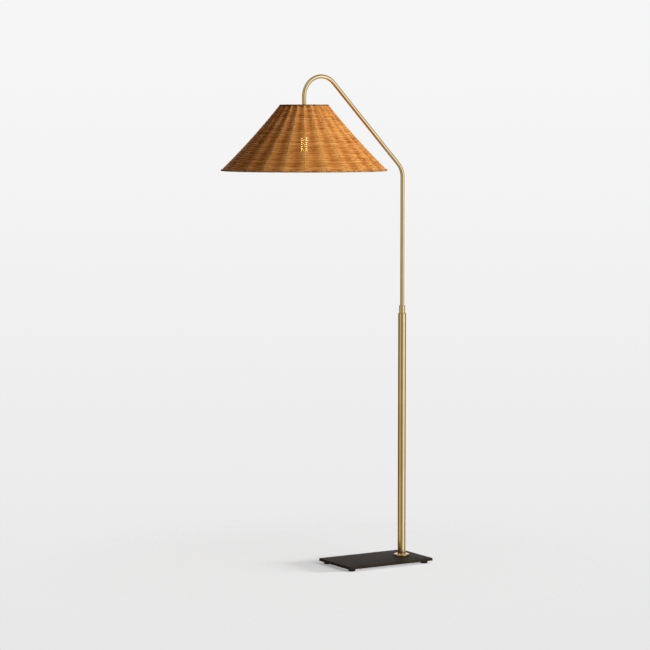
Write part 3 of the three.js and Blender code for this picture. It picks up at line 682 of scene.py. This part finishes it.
def arm_path():
    """Points and normals along the arm's centreline, in the plane of the column and shade."""
    reach = COLUMN_X - SHADE_X
    knee_cut = KNEE_RADIUS * math.tan(SLANT_FROM_VERTICAL / 2)
    knee = (-KNEE_RADIUS, SLANT_MEETS_COLUMN_AXIS - knee_cut)
    hook_x = HOOK_RADIUS - reach
    slant = -hook_x - HOOK_RADIUS * math.cos(SLANT_FROM_VERTICAL)
    slant_rise = slant / math.sin(SLANT_FROM_VERTICAL) * math.cos(SLANT_FROM_VERTICAL)
    hook_z = SLANT_MEETS_COLUMN_AXIS + slant_rise - HOOK_RADIUS * math.sin(SLANT_FROM_VERTICAL)
    bends = (
        (knee, KNEE_RADIUS, 0.0, SLANT_FROM_VERTICAL, KNEE_STEPS),
        ((hook_x, hook_z), HOOK_RADIUS, SLANT_FROM_VERTICAL, math.pi, HOOK_STEPS),
    )
    stations = [((0, corners("arm_tube")[0][2]), 0.0)]
    for centre, radius, start, end, steps in bends:
        for i in range(steps + 1):
            angle = start + (end - start) * i / steps
            x = centre[0] + radius * math.cos(angle)
            z = centre[1] + radius * math.sin(angle)
            stations.append(((x, z), angle))
    stations.append(((-reach, ARM_LEG_END), math.pi))
    points = np.array([(COLUMN_X + x, 0, z) for (x, z), _ in stations])
    normals = np.array([(math.cos(a), 0, math.sin(a)) for _, a in stations])
    return points, normals


def arm():
    """The bent tube, swept along its outer wall and back along its inner wall."""
    outer = half_size("arm_tube")[1]
    path, normals = arm_path()
    radii = np.repeat((outer, outer - TUBE_WALL), len(path))
    path = np.concatenate([path, path[::-1]])
    normals = np.concatenate([normals, normals[::-1]])
    binormals = np.tile((0.0, 1.0, 0.0), (len(path), 1))
    points, faces, uv = sweep(path, normals, binormals, radii, radii, ARM_SIDES, closed=True)
    # Brass has the metres round its uv first, and then the metres along
    uv = np.stack([uv[:, 1] * TURN * outer * MM, uv[:, 0]], axis=1)
    shape = (points, faces, uv)
    make_piece("arm_tube_brushed", shape, BRASS, "arm", ["arm_tube"], angle=50)


# Shade: stakes, weavers that pass over and under them, bound rims and the spider

WEAVE_TOP = 1435.0
WEAVE_BOTTOM = 1239.0
WEAVE_DEPTH = 4.30
WEAVE_SWING = 0.6
ROW_COUNT = 64
# The swing is smaller in the rows next to a rim, from this share of a row up to BORDER_ROWS
BORDER_ROWS = 5
BORDER_START = 1.5
WEAVER_HALF_DEPTH = 1.2
WEAVER_SIDES = 8
# How far the rows fill their pitch: packed at the bottom, a little open where the bulb shows
TIGHT_SHARES = (0.20, 0.34)
TIGHTNESS = (1.18, 1.05)
# How unlike each other the rows are: their height, pull at a stake, size and tightness
ROW_WOBBLE = 0.04
PULL_SPREAD = 0.07
SIZE_SPREAD = 0.06
TIGHT_SPREAD = 0.012
TIGHT_WOBBLE = 0.01
WOBBLE_WAVES = 4
# Slow waves of the rows round the shade: (waves, size, turns of phase from bottom to top)
DRIFTS = ((3, 0.7, 0.7), (5, 0.5, -1.1), (8, 0.3, 1.6))
STEPS_PER_STAKE = 12
RIB_HEIGHT = 1.4
RIB_SHARE_AT_TOP = 0.6
STAKE_TOP = SHADE_TOP - 3
STAKE_BOTTOM = SHADE_BOTTOM + 1.5
STAKE_HALF_WIDTH = 2.2
STAKE_HALF_DEPTH = 1.1
STAKE_STEPS = 40
STAKE_SIDES = 10
# Tones of the cane, from 0 for dark to 1 for light: (middle, spread)
WEAVER_TONE = (0.5, 0.09)
STAKE_TONE = (0.42, 0.1)
WRAP_TONE = (0.48, 0.16)
CORE_TONE = 0.3
# Painted light and shade on the weavers: their tone drops by this much in the valleys between ribs and
# rises by it on the ribs
RIB_PAINTED_SHADING = 0.15
SEED = 20


def shade_radius(z):
    """The shade's outer radius at a height."""
    down = (SHADE_TOP - z) / (SHADE_TOP - SHADE_BOTTOM)
    straight = SHADE_TOP_RADIUS + (SHADE_BOTTOM_RADIUS - SHADE_TOP_RADIUS) * down
    return straight - 4 * SHADE_SAG * down * (1 - down)


def slope_vectors(z, angle):
    """Unit vectors out of the shade's surface and down its slope, for arrays of height and angle."""
    step = 0.5
    rise = (shade_radius(z - step) - shade_radius(z + step)) / (2 * step)
    length = np.sqrt(1 + rise * rise)
    cos, sin = np.cos(angle), np.sin(angle)
    out = np.stack([cos, sin, rise], axis=-1) / length[..., None]
    down = np.stack([rise * cos, rise * sin, -np.ones_like(z)], axis=-1)
    return out, down / length[..., None]


def shade_point(z, angle, depth=0.0):
    """A point on the mid-surface of the weave, or moved out of it by a depth.

    The mid-surface has a soft rib over each stake, lower where the stakes draw together.
    """
    radius = shade_radius(z) - WEAVE_DEPTH
    rib = RIB_HEIGHT * np.interp(z, (SHADE_BOTTOM, SHADE_TOP), (1, RIB_SHARE_AT_TOP))
    point = np.stack([radius * np.cos(angle), radius * np.sin(angle), z], axis=-1)
    out, _ = slope_vectors(z, angle)
    depth = depth + rib * np.cos(STAKE_COUNT * angle)
    return point + out * np.asarray(depth)[..., None] + np.array([SHADE_X, 0, 0])


def slow_wave(rng, angles, size):
    """A smooth closed wobble round the shade."""
    total = np.zeros_like(angles)
    for k in range(1, WOBBLE_WAVES + 1):
        total += rng.normal() * np.sin(k * rng.integers(1, 5) * angles + rng.uniform(0, TURN)) / k
    return size * total


def row_drift(angles, share):
    """How far a row strays up or down; rows that are neighbours stray together."""
    drift = np.zeros_like(angles)
    for waves, size, turn in DRIFTS:
        drift += size * np.sin(waves * angles + TURN * turn * share)
    return drift * math.sin(math.pi * share)


def row_swing(rng, angles, row, pull):
    """How far a row passes in front of and behind the stakes, each row the other way round."""
    from_rim = min(row, ROW_COUNT - 1 - row)
    border = min(1, (from_rim + BORDER_START) / BORDER_ROWS)
    size = WEAVE_SWING * border * (1 + SIZE_SPREAD * rng.normal())
    side = -1 if row % 2 else 1
    at_stake = angles / TURN * STAKE_COUNT
    pulled = np.interp(at_stake, np.arange(STAKE_COUNT), pull[row % 2], period=STAKE_COUNT)
    return size * side * np.cos(STAKE_COUNT / 2 * angles) * pulled


def strand_tones(rng, count):
    """One tone for each point round a row; a row is woven from two to five lengths of cane."""
    tones = np.empty(count)
    joins = sorted(rng.integers(0, count, rng.integers(2, 6)))
    picks = rng.normal(*WEAVER_TONE, len(joins))
    for start, tone in zip(joins, picks):
        tones[start:] = tone
    tones[: joins[0]] = picks[-1]
    return tones


def weavers():
    """The rows of cane round the shade, each a closed oval strand."""
    rng = np.random.default_rng(SEED)
    count = STAKE_COUNT * STEPS_PER_STAKE
    angles = np.arange(count) * TURN / count
    pitch = (WEAVE_TOP - WEAVE_BOTTOM) / ROW_COUNT
    pull = rng.normal(1.0, PULL_SPREAD, (2, STAKE_COUNT))
    shapes, tones = [], []
    for row in range(ROW_COUNT):
        share = (row + 0.5) / ROW_COUNT
        z = WEAVE_BOTTOM + (WEAVE_TOP - WEAVE_BOTTOM) * share
        z = z + row_drift(angles, share) + slow_wave(rng, angles, ROW_WOBBLE)
        path = shade_point(z, angles, row_swing(rng, angles, row, pull))
        depth = WEAVER_HALF_DEPTH * (1 + SIZE_SPREAD * rng.normal())
        out, down = slope_vectors(z, angles)
        tightness = np.interp(share, TIGHT_SHARES, TIGHTNESS) + TIGHT_SPREAD * rng.normal()
        tightness = tightness + slow_wave(rng, angles, TIGHT_WOBBLE)
        width = pitch / -down[:, 2] / 2 * tightness
        strand = sweep(path, out, down, width, depth, WEAVER_SIDES, closed=True)
        shapes.append(own_grain(strand, row))
        # Each row's own tone, plus painted shading: darker in the valleys between ribs, lighter on the
        # ribs
        row_tones_and_painted_shading = strand_tones(rng, count) + RIB_PAINTED_SHADING * np.cos(STAKE_COUNT * angles)
        tones.append(np.repeat(row_tones_and_painted_shading, WEAVER_SIDES))
    make_piece(
        "shade_weavers", joined(shapes), CANE, "arm", ["shade_weave"],
        np.concatenate(tones), angle=80,
    )


def stakes():
    """The flat canes that run down the shade, under its ribs."""
    rng = np.random.default_rng(SEED + 1)
    z = np.linspace(STAKE_TOP, STAKE_BOTTOM, STAKE_STEPS)
    shapes, tones = [], []
    angles, _, sides, _ = ring_vectors(STAKE_COUNT)
    for i, side in enumerate(sides):
        angle = np.full_like(z, angles[i])
        out, _ = slope_vectors(z, angle)
        path = shade_point(z, angle)
        side = np.tile(side, (STAKE_STEPS, 1))
        size = (STAKE_HALF_WIDTH, STAKE_HALF_DEPTH)
        stake = sweep(path, out, side, *size, STAKE_SIDES, closed=False)
        shapes.append(own_grain(stake, i))
        tones.append(np.full(len(stake[0]), rng.normal(*STAKE_TONE)))
    make_piece(
        "shade_stakes", joined(shapes), CANE, "arm", (), np.concatenate(tones), angle=60,
    )


CORE_STEPS = 240
CORE_SIDES = 10
WRAP_STEPS = 12
WRAP_SIDES = 8
# How far the strip's middle lies out of the core, as a share of its half depth
WRAP_SEAT = 0.7
WRAP_SWELL = 0.12
# The strip's width goes up and down this often round the rim, by this share
WIDTH_WAVES = 37
WIDTH_SHARE = 0.06


def turn_by_turn(values):
    """One value for each turn of the strip as one for each step, smoothed from turn to turn."""
    half = WRAP_STEPS // 2
    window = 2 * half + 1
    steps = np.repeat(values, WRAP_STEPS)
    steps = np.concatenate([steps[-half:], steps, steps[:half]])
    return np.convolve(steps, np.ones(window) / window, mode="valid")


def bound_rim(name, node, material, turns, strip_width, strip_depth, seed):
    """A rim of cane core with a strip wound round it."""
    rng = np.random.default_rng(seed)
    wire = half_size(node)[2]
    ring = half_size(node)[0] - wire
    centre = np.array([SHADE_X, 0, middle(node)[2]])
    core_radius = wire - 2 * strip_depth
    core = hoop(centre, ring, core_radius, CORE_STEPS, CORE_SIDES)

    angles, out, around, up = ring_vectors(turns * WRAP_STEPS)
    wind = np.arange(turns * WRAP_STEPS) * TURN / WRAP_STEPS
    away = np.cos(wind)[:, None] * out + np.sin(wind)[:, None] * up
    swell = turn_by_turn(rng.normal(0, WRAP_SWELL, turns))
    path = centre + ring * out + away * (core_radius + strip_depth * WRAP_SEAT + swell)[:, None]
    across = around - away * np.sum(around * away, axis=1)[:, None]
    width = strip_width / 2 * (1 + WIDTH_SHARE * np.sin(angles * WIDTH_WAVES))
    strip = sweep(path, away, across, width, strip_depth, WRAP_SIDES, closed=True)

    core_tones = np.full(len(core[0]), CORE_TONE)
    strip_tones = np.repeat(rng.normal(*WRAP_TONE, turns), WRAP_STEPS * WRAP_SIDES)
    make_piece(
        name, joined([core, own_grain(strip, 1)]), material, "arm", [node],
        np.concatenate([core_tones, strip_tones]), angle=80,
    )


SPOKE_COUNT = 3
SPOKE_STEPS = 12
WIRE_SIDES = 14


def spider():
    """Brass wire: a ring inside the top of the shade, three spokes and a washer-like hub."""
    low, high = corners("shade_spider")
    wire, spoke = 1.75, 1.6
    hub_radius, hub_hole, hub_height, edge = 12.0, 5.1, 2.0, 0.4
    spoke_root = hub_radius - 2
    hub_low, hub_high = low[2], low[2] + hub_height
    ring = half_size("shade_spider")[1] - wire
    ring_centre = np.array([SHADE_X, 0, high[2] - wire])
    hub_centre = np.array([SHADE_X, 0, hub_low + hub_height / 2])

    shapes = [hoop(ring_centre, ring, wire, count=144, sides=WIRE_SIDES)]
    profile = [(hub_hole, hub_low), (hub_radius - edge, hub_low), (hub_radius, hub_low + edge)]
    profile += [(hub_radius, hub_high - edge), (hub_radius - edge, hub_high), (hub_hole, hub_high)]
    shapes.append(turned(profile, (SHADE_X, 0, 0), sides=48))
    _, aways, sides, _ = ring_vectors(SPOKE_COUNT)
    for away, side in zip(aways, sides):
        start = hub_centre + away * spoke_root
        end = ring_centre + away * ring
        path = np.linspace(start, end, SPOKE_STEPS)
        binormals = np.tile(side, (SPOKE_STEPS, 1))
        normals = np.cross(binormals, (end - start) / np.linalg.norm(end - start))
        shapes.append(sweep(path, normals, binormals, spoke, spoke, WIRE_SIDES, closed=False))
    make_piece("shade_spider_wire", joined(shapes), BRASS, "arm", ["shade_spider"])


# Lampholder and bulb

SHELL_WALL = 0.7
CAP_WALL = 0.8
HOLDER_SIDES = 80
HOLDER_AXIS = (SHADE_X, 0, 0)
TO_LEFT = (-1, 0, 0)


def dome(radius, crown, shoulder, top):
    """A profile that bends in from a wall at its shoulder to the edge of a flat crown."""
    quarter = arc((0, 0), 1, 0, 90, 14)
    return [(crown + (radius - crown) * x, shoulder + (top - shoulder) * y) for x, y in quarter]


def holder_cap():
    """The lampholder's cap: a spun dome with a groove near its lower edge."""
    low, high = corners("holder_cap")
    outer = half_size("holder_cap")[0]
    inner = outer - CAP_WALL
    top, under = high[2], high[2] - CAP_WALL
    hole, crown, dome_height, edge = 5.1, 9.0, 18.4, 0.3
    shoulder = top - dome_height
    groove, groove_depth = low[2] + 4, 0.45
    floor_half, mouth_half = 0.4, 0.8
    profile = [(inner, low[2]), (outer - edge, low[2]), (outer, low[2] + edge)]
    profile += [(outer, groove - mouth_half), (outer - groove_depth, groove - floor_half)]
    profile += [(outer - groove_depth, groove + floor_half), (outer, groove + mouth_half)]
    profile += [*dome(outer, crown, shoulder, top), (hole, top), (hole, under)]
    profile += reversed(dome(inner, crown, shoulder, under))
    brass_turning("holder_cap_spun", profile, HOLDER_AXIS, "arm", "holder_cap", HOLDER_SIDES)


def holder_shell():
    """The lampholder's shell: a sleeve with a bead round its lower edge."""
    low, high = corners("holder_shell")
    bead, bead_height = 0.8, 2.4
    outer = half_size("holder_shell")[1] - bead
    inner = outer - SHELL_WALL
    profile = [(inner, low[2]), (outer, low[2])]
    for share in np.linspace(0, 1, 9)[1:]:
        profile.append((outer + bead * math.sin(math.pi * share), low[2] + bead_height * share))
    profile += [(outer, high[2]), (inner, high[2])]
    brass_turning("holder_shell_spun", profile, HOLDER_AXIS, "arm", "holder_shell", HOLDER_SIDES)


def switch_knob():
    """A turn knob: a shaft with a collar and a flat oval wing."""
    low, high = corners("switch_knob")
    height = middle("switch_knob")[2]
    root = SHADE_X - high[0]
    wing_size = np.array([15.0, 4.4, 12.0])
    shaft, collar, collar_start, collar_end = 1.9, 3.4, 18.3, 25.6
    inner_edge, outer_edge = 0.5, 1.0
    profile = [(0, root), (shaft, root), (shaft, collar_start)]
    profile += [(collar - inner_edge, collar_start), (collar, collar_start + inner_edge)]
    profile += [(collar, collar_end - outer_edge), (collar - outer_edge, collar_end), (0, collar_end)]
    stem = turned(profile, (SHADE_X, 0, height), sides=40, across=TO_LEFT)
    ball = [(0, -1), *arc((0, 0), 1, -90, 90, 24)[1:-1], (0, 1)]
    points, faces, uv = turned(ball, (0, 0, 0), sides=40, across=TO_LEFT)
    points = points * wing_size / 2 + np.array([low[0] + wing_size[0] / 2, 0, height])
    shape = joined([stem, (points, faces, uv)])
    make_piece("switch_knob_polished", shape, BRASS, "switch", ["switch_knob"])


# Distances along the bulb, measured down from its contact
BULB_CAP_LENGTH = 27
BULB_LENGTH = 108
NECK_END = 32
GLASS_START = BULB_CAP_LENGTH - 4
CUP_FLOOR = BULB_CAP_LENGTH - 5
THREAD_START = 8.0
NECK_INSET = 1.2
GLASS_WALL = 0.8
CUP_WALL = 0.7
THREAD_TURNS = 3
THREAD_PITCH = 3.6
THREAD_DEPTH = 0.8
STEPS_PER_THREAD = 10
FILAMENT_COUNT = 4


def below_contact(profile):
    """A profile of (radius, distance down) as (radius, height)."""
    contact = corners("bulb_cap")[1][2]
    return [(radius, contact - down) for radius, down in profile]


def envelope(inset=0.0):
    """The envelope's profile as (radius, distance down), from its neck to its end."""
    bulb_radius = half_size("bulb_glass")[1]
    neck = half_size("bulb_cap")[0] - NECK_INSET
    equator = BULB_LENGTH - bulb_radius
    outline = [(neck - inset, GLASS_START)]
    for share in np.linspace(0, 1, 28):
        swell = (bulb_radius - neck) * (1 - math.cos(math.pi * share)) / 2
        outline.append((neck + swell - inset, NECK_END + (equator - NECK_END) * share))
    reach = bulb_radius - inset
    return [*outline, *arc((0, equator), reach, 0, 90, 19)[1:-1], (0, equator + reach)]


def bulb_glass():
    """The clear envelope: up its outside from the end to the neck, and down its inside."""
    profile = below_contact([*reversed(envelope()), *envelope(GLASS_WALL)])
    shape = turned(profile, HOLDER_AXIS)
    make_piece("bulb_envelope", shape, GLASS, "arm", ["bulb_glass"], angle=60)


def bulb_cap():
    """The screw cap: a cup for the neck, rounds of thread, and steps in to the contact."""
    radius = half_size("bulb_cap")[0]
    cup = radius - CUP_WALL
    profile = [(0, CUP_FLOOR), (cup, CUP_FLOOR), (cup, BULB_CAP_LENGTH), (radius, BULB_CAP_LENGTH)]
    profile.append((radius, THREAD_START + THREAD_TURNS * THREAD_PITCH))
    for step in range(THREAD_TURNS * STEPS_PER_THREAD, -1, -1):
        turn = step / STEPS_PER_THREAD
        ridge = radius - THREAD_DEPTH * (1 - math.cos(TURN * turn)) / 2
        profile.append((ridge, THREAD_START + turn * THREAD_PITCH))
    # The glass bead in the cap's end, and the contact on it
    profile += [(radius - 1.5, 5), (6.2, 2.2), (5, 1.6), (4.4, 0.5), (3.2, 0), (0, 0)]
    brass_turning(
        "bulb_screw_cap", below_contact(profile), HOLDER_AXIS, "arm", "bulb_cap", 64, angle=30,
    )


def filaments():
    """Round-ended glowing sticks; bulb_light gives the light that they cast."""
    edge = 0.5
    for i in range(1, FILAMENT_COUNT + 1):
        node = f"filament_{i}"
        low, high = corners(node)
        x, y, _ = middle(node)
        side = half_size(node)[1] - edge
        profile = [(0, low[2]), *arc((side, low[2] + edge), edge, -90, 0, 4)]
        profile += [*arc((side, high[2] - edge), edge, 0, 90, 4), (0, high[2])]
        shape = turned(profile, (x, y, 0), sides=20)
        piece = make_piece(f"{node}_glowing", shape, FILAMENT, "arm", [node])
        piece.visible_diffuse = False


base_plate()
for corner in FOOT_NAMES:
    rubber_foot(corner)
flange()
column()
outlet_bushing()
ferrule()
arm()
weavers()
stakes()
bound_rim(
    "shade_top_rim_bound", "shade_top_rim", DARK_CANE,
    turns=48, strip_width=7.6, strip_depth=0.75, seed=SEED + 2,
)
bound_rim(
    "shade_bottom_rim_bound", "shade_bottom_rim", RIM_CANE,
    turns=216, strip_width=6.4, strip_depth=0.6, seed=SEED + 3,
)
spider()
holder_cap()
holder_shell()
switch_knob()
bulb_glass()
bulb_cap()
filaments()

# The solids that stay visible take their material by slot
NODE_MATERIALS = {
    "brass": BRASS_NODE,
    "steel": STEEL,
    "nylon": NYLON,
    "black_plastic": BLACK_PLASTIC,
    "fibre_liner": FIBRE,
    "glass": GLASS,
}
for part in frame["record"]["subparts"]:
    node = frame["nodes"][part["node"]]
    if part["material_slot"] in NODE_MATERIALS:
        node.data.materials.clear()
        node.data.materials.append(NODE_MATERIALS[part["material_slot"]])


# Camera, at the photograph's viewing angle. Its places are in metres, as in all that follows.

CAMERA_PLACE = (COLUMN_X * MM - 4.1175, -6.3380, 1.387)
CAMERA_PITCH = 4.823
CAMERA_YAW = -31.17
FOCAL_PIXELS = 2409
FRAME_PIXELS = 650
SENSOR_WIDTH = 36

camera_data = bpy.data.cameras.new("camera")
camera_data.sensor_width = SENSOR_WIDTH
camera_data.lens = FOCAL_PIXELS / FRAME_PIXELS * SENSOR_WIDTH
camera_data.clip_end = 200
camera = placed("camera", camera_data)
camera.location = CAMERA_PLACE
camera.rotation_euler = (math.radians(90 - CAMERA_PITCH), 0, math.radians(CAMERA_YAW))
bpy.context.scene.camera = camera


# Floor, world and lamps. An azimuth is measured from the camera's side of the lamp to its right.

AMBIENT = 0.06
FLOOR_CENTRE = (0.05, 0.0, 0.0)
FLOOR_NEAR = 0.45
FLOOR_FAR = 1.15
FLOOR_GREY = 0.79
# How solid the floor is to the rays that show it, and the share of that which metal mirrors
FLOOR_BODY = 0.6
FLOOR_IN_METAL = 0.15
LAMP_AIM = Vector((0.1, 0, 0.8))
SUN_DISTANCE = 3.0
SUN_WIDTH = math.radians(9)
BULB_COLOUR = (1.0, 0.62, 0.28)
BULB_LIGHT_RADIUS = 0.012
TOWARD_CAMERA = math.atan2(CAMERA_PLACE[1], CAMERA_PLACE[0] - COLUMN_X * MM)

# The paper's grey from below eye level up, over heights on the unit sphere: (place, grey)
PAPER_HEIGHTS = (-0.22, 0.02)
PAPER_GREYS = ((0.0, 0.800), (0.45, 0.855), (1.0, 0.922))
# The colour of the studio's walls that metal mirrors: (azimuth in degrees, red, green, blue)
WALLS = (
    (-158, 1.0, 1.0, 1.0),
    (-135, 0.14, 0.14, 0.14),
    (-84, 0.14, 0.13, 0.12),
    (-62, 0.92, 0.84, 0.80),
    (-46, 0.80, 0.72, 0.68),
    (-18, 0.36, 0.31, 0.20),
    (8, 0.28, 0.25, 0.15),
    (24, 0.70, 0.70, 0.66),
    (44, 1.20, 1.24, 1.50),
    (64, 1.65, 1.75, 2.30),
    (76, 1.40, 1.45, 1.80),
    (90, 0.30, 0.32, 0.32),
    (138, 0.34, 0.34, 0.34),
    (160, 1.0, 1.0, 1.0),
)
# The ceiling that takes over from the walls, behind the lamp and on the camera's side
OVERHEAD_BEHIND = (0.16, 0.17, 0.18)
OVERHEAD_BEFORE = (0.55, 0.57, 0.60)
OVERHEAD_HEIGHTS = (0.30, 0.65)
OVERHEAD_CHANGE = (-0.35, 0.15)


def direction(azimuth, elevation):
    """A unit vector from the lamp, for angles in degrees."""
    angle = TOWARD_CAMERA + math.radians(azimuth)
    level = math.cos(math.radians(elevation))
    height = math.sin(math.radians(elevation))
    return Vector((level * math.cos(angle), level * math.sin(angle), height))


def new_light(name, kind, **settings):
    """A light object whose data has some settings."""
    data = bpy.data.lights.new(name, kind)
    for key, value in settings.items():
        setattr(data, key, value)
    return placed(name, data)


def aim(light, azimuth, elevation, distance):
    """Hangs a light at a distance from the lamp and turns it to look back."""
    towards = direction(azimuth, elevation)
    light.location = LAMP_AIM + towards * distance
    light.rotation_euler = towards.to_track_quat("Z", "Y").to_euler()


def soft_light(name, azimuth, elevation, distance, size, power, colour=(1, 1, 1)):
    """A square area light that metal doesn't mirror."""
    light = new_light(name, "AREA", shape="SQUARE", size=size, energy=power, color=colour)
    light.visible_glossy = False
    aim(light, azimuth, elevation, distance)
    return light


def gathered(name, fits):
    """A collection of the meshes that fit a test, for a light to reach or to be blocked by."""
    collection = bpy.data.collections.new(name)
    for piece in bpy.data.objects:
        if piece.type == "MESH" and fits(piece.name):
            collection.objects.link(piece)
    return collection


def floor_sun(name, azimuth, elevation, strength):
    """A sun that only the floor takes and only the base blocks."""
    sun = new_light(name, "SUN", energy=strength, angle=SUN_WIDTH)
    aim(sun, azimuth, elevation, SUN_DISTANCE)
    sun.light_linking.receiver_collection = gathered(
        f"{name}_lights", lambda piece: piece == "floor",
    )
    sun.light_linking.blocker_collection = gathered(
        f"{name}_shadows", lambda piece: piece.startswith(("base_plate_", "foot_")),
    )


def bulb_light(power):
    """The bulb's own warm light inside the shade, which the glass round it lets through."""
    light = new_light(
        "bulb_light", "POINT", energy=power, color=BULB_COLOUR, shadow_soft_size=BULB_LIGHT_RADIUS,
    )
    light.location = (SHADE_X * MM, 0, middle("filament_1")[2] * MM)
    light.parent = frame["bodies"]["arm"]
    light.visible_camera = False
    light.visible_glossy = False
    light.visible_transmission = False
    light.light_linking.blocker_collection = gathered(
        "bulb_shadows", lambda piece: not piece.startswith(("bulb_", "filament_")),
    )


def shown_rays(shader):
    """1 for the rays that show the backdrop: from the camera, off metal and through glass."""
    seen = shader.math("MAXIMUM", shader.rays("Camera"), shader.rays("Transmission"))
    return shader.math("MAXIMUM", seen, shader.rays("Glossy"))


def backdrop(shader):
    """Pale paper all round. Metal mirrors it times the colours of the walls and the ceiling."""
    view = shader.node("ShaderNodeTexCoord").outputs["Generated"]
    axes = (direction(90, 0), direction(0, 0), (0, 0, 1))
    parts = [shader.vector_math("DOT_PRODUCT", view, axis) for axis in axes]
    to_right, to_camera, height = parts
    paper = shader.ramp(
        shader.spread(height, *PAPER_HEIGHTS),
        *[(place, grey, grey, grey) for place, grey in PAPER_GREYS],
    )
    azimuth = shader.math("ARCTAN2", to_right, to_camera)
    share = shader.spread(azimuth, -math.pi, math.pi)
    walls = shader.ramp(share, *[((angle + 180) / 360, *colour) for angle, *colour in WALLS])
    before = shader.spread(to_camera, *OVERHEAD_CHANGE)
    overhead = shader.ramp(before, (0.0, *OVERHEAD_BEHIND), (1.0, *OVERHEAD_BEFORE))
    walls = shader.mix(shader.spread(height, *OVERHEAD_HEIGHTS), walls, overhead)
    mirrored = shader.mix(1.0, walls, paper, blend="MULTIPLY")
    return shader.mix(shader.rays("Glossy"), paper, mirrored)


def studio_world():
    """The backdrop for the rays that show it, and a faint even light for the others."""
    world = bpy.data.worlds.new("studio")
    bpy.context.scene.world = world
    shader = Shader(world)
    shown = shader.nodes["Background"]
    shader.put(shown.inputs["Color"], backdrop(shader))
    ambient = shader.node("ShaderNodeBackground")
    shader.fill(ambient, Strength=AMBIENT, Color=(1, 1, 1, 1))
    both = [light.outputs["Background"] for light in (ambient, shown)]
    mix = shader.fill_in_order(shader.node("ShaderNodeMixShader"), shown_rays(shader), *both)
    shader.fill(shader.nodes["World Output"], Surface=mix.outputs["Shader"])


def floor():
    """A pale floor that keeps the shadow near the lamp and thins out into the backdrop."""
    reach = 2 * FLOOR_FAR
    square = [(x * reach, y * reach, 0) for x, y in ((-1, -1), (1, -1), (1, 1), (-1, 1))]
    mesh = bpy.data.meshes.new("floor")
    mesh.from_pydata(square, [], [(0, 1, 2, 3)])
    shader = Shader(bpy.data.materials.new("floor"))
    away = shader.vector_math("DISTANCE", shader.place(), FLOOR_CENTRE)
    fade = shader.spread(away, FLOOR_NEAR, FLOOR_FAR, 1.0, 0.0, "SMOOTHERSTEP")
    body = shader.spread(shown_rays(shader), 0.0, 1.0, 1.0, FLOOR_BODY)
    in_metal = shader.spread(shader.rays("Glossy"), 0.0, 1.0, 1.0, FLOOR_IN_METAL)
    body = shader.math("MULTIPLY", body, in_metal)
    shader.set(
        Base_Color=(FLOOR_GREY, FLOOR_GREY, FLOOR_GREY, 1),
        Roughness=0.9,
        Specular_IOR_Level=0.0,
        Alpha=shader.math("MULTIPLY", fade, body),
    )
    mesh.materials.append(shader.material)
    placed("floor", mesh)


floor()
studio_world()
soft_light("key", azimuth=59, elevation=10, distance=20.0, size=16.0, power=5550)
top = soft_light(
    "top", azimuth=150, elevation=78, distance=3.0, size=2.0, power=28, colour=(1.0, 0.72, 0.48),
)
top.light_linking.receiver_collection = gathered("top_lights", lambda piece: piece != "floor")
floor_sun("raking", azimuth=90, elevation=6.5, strength=10.0)
floor_sun("overhead", azimuth=90, elevation=80, strength=1.03)
bulb_light(power=0.4)

bpy.context.scene.view_settings.view_transform = "Standard"
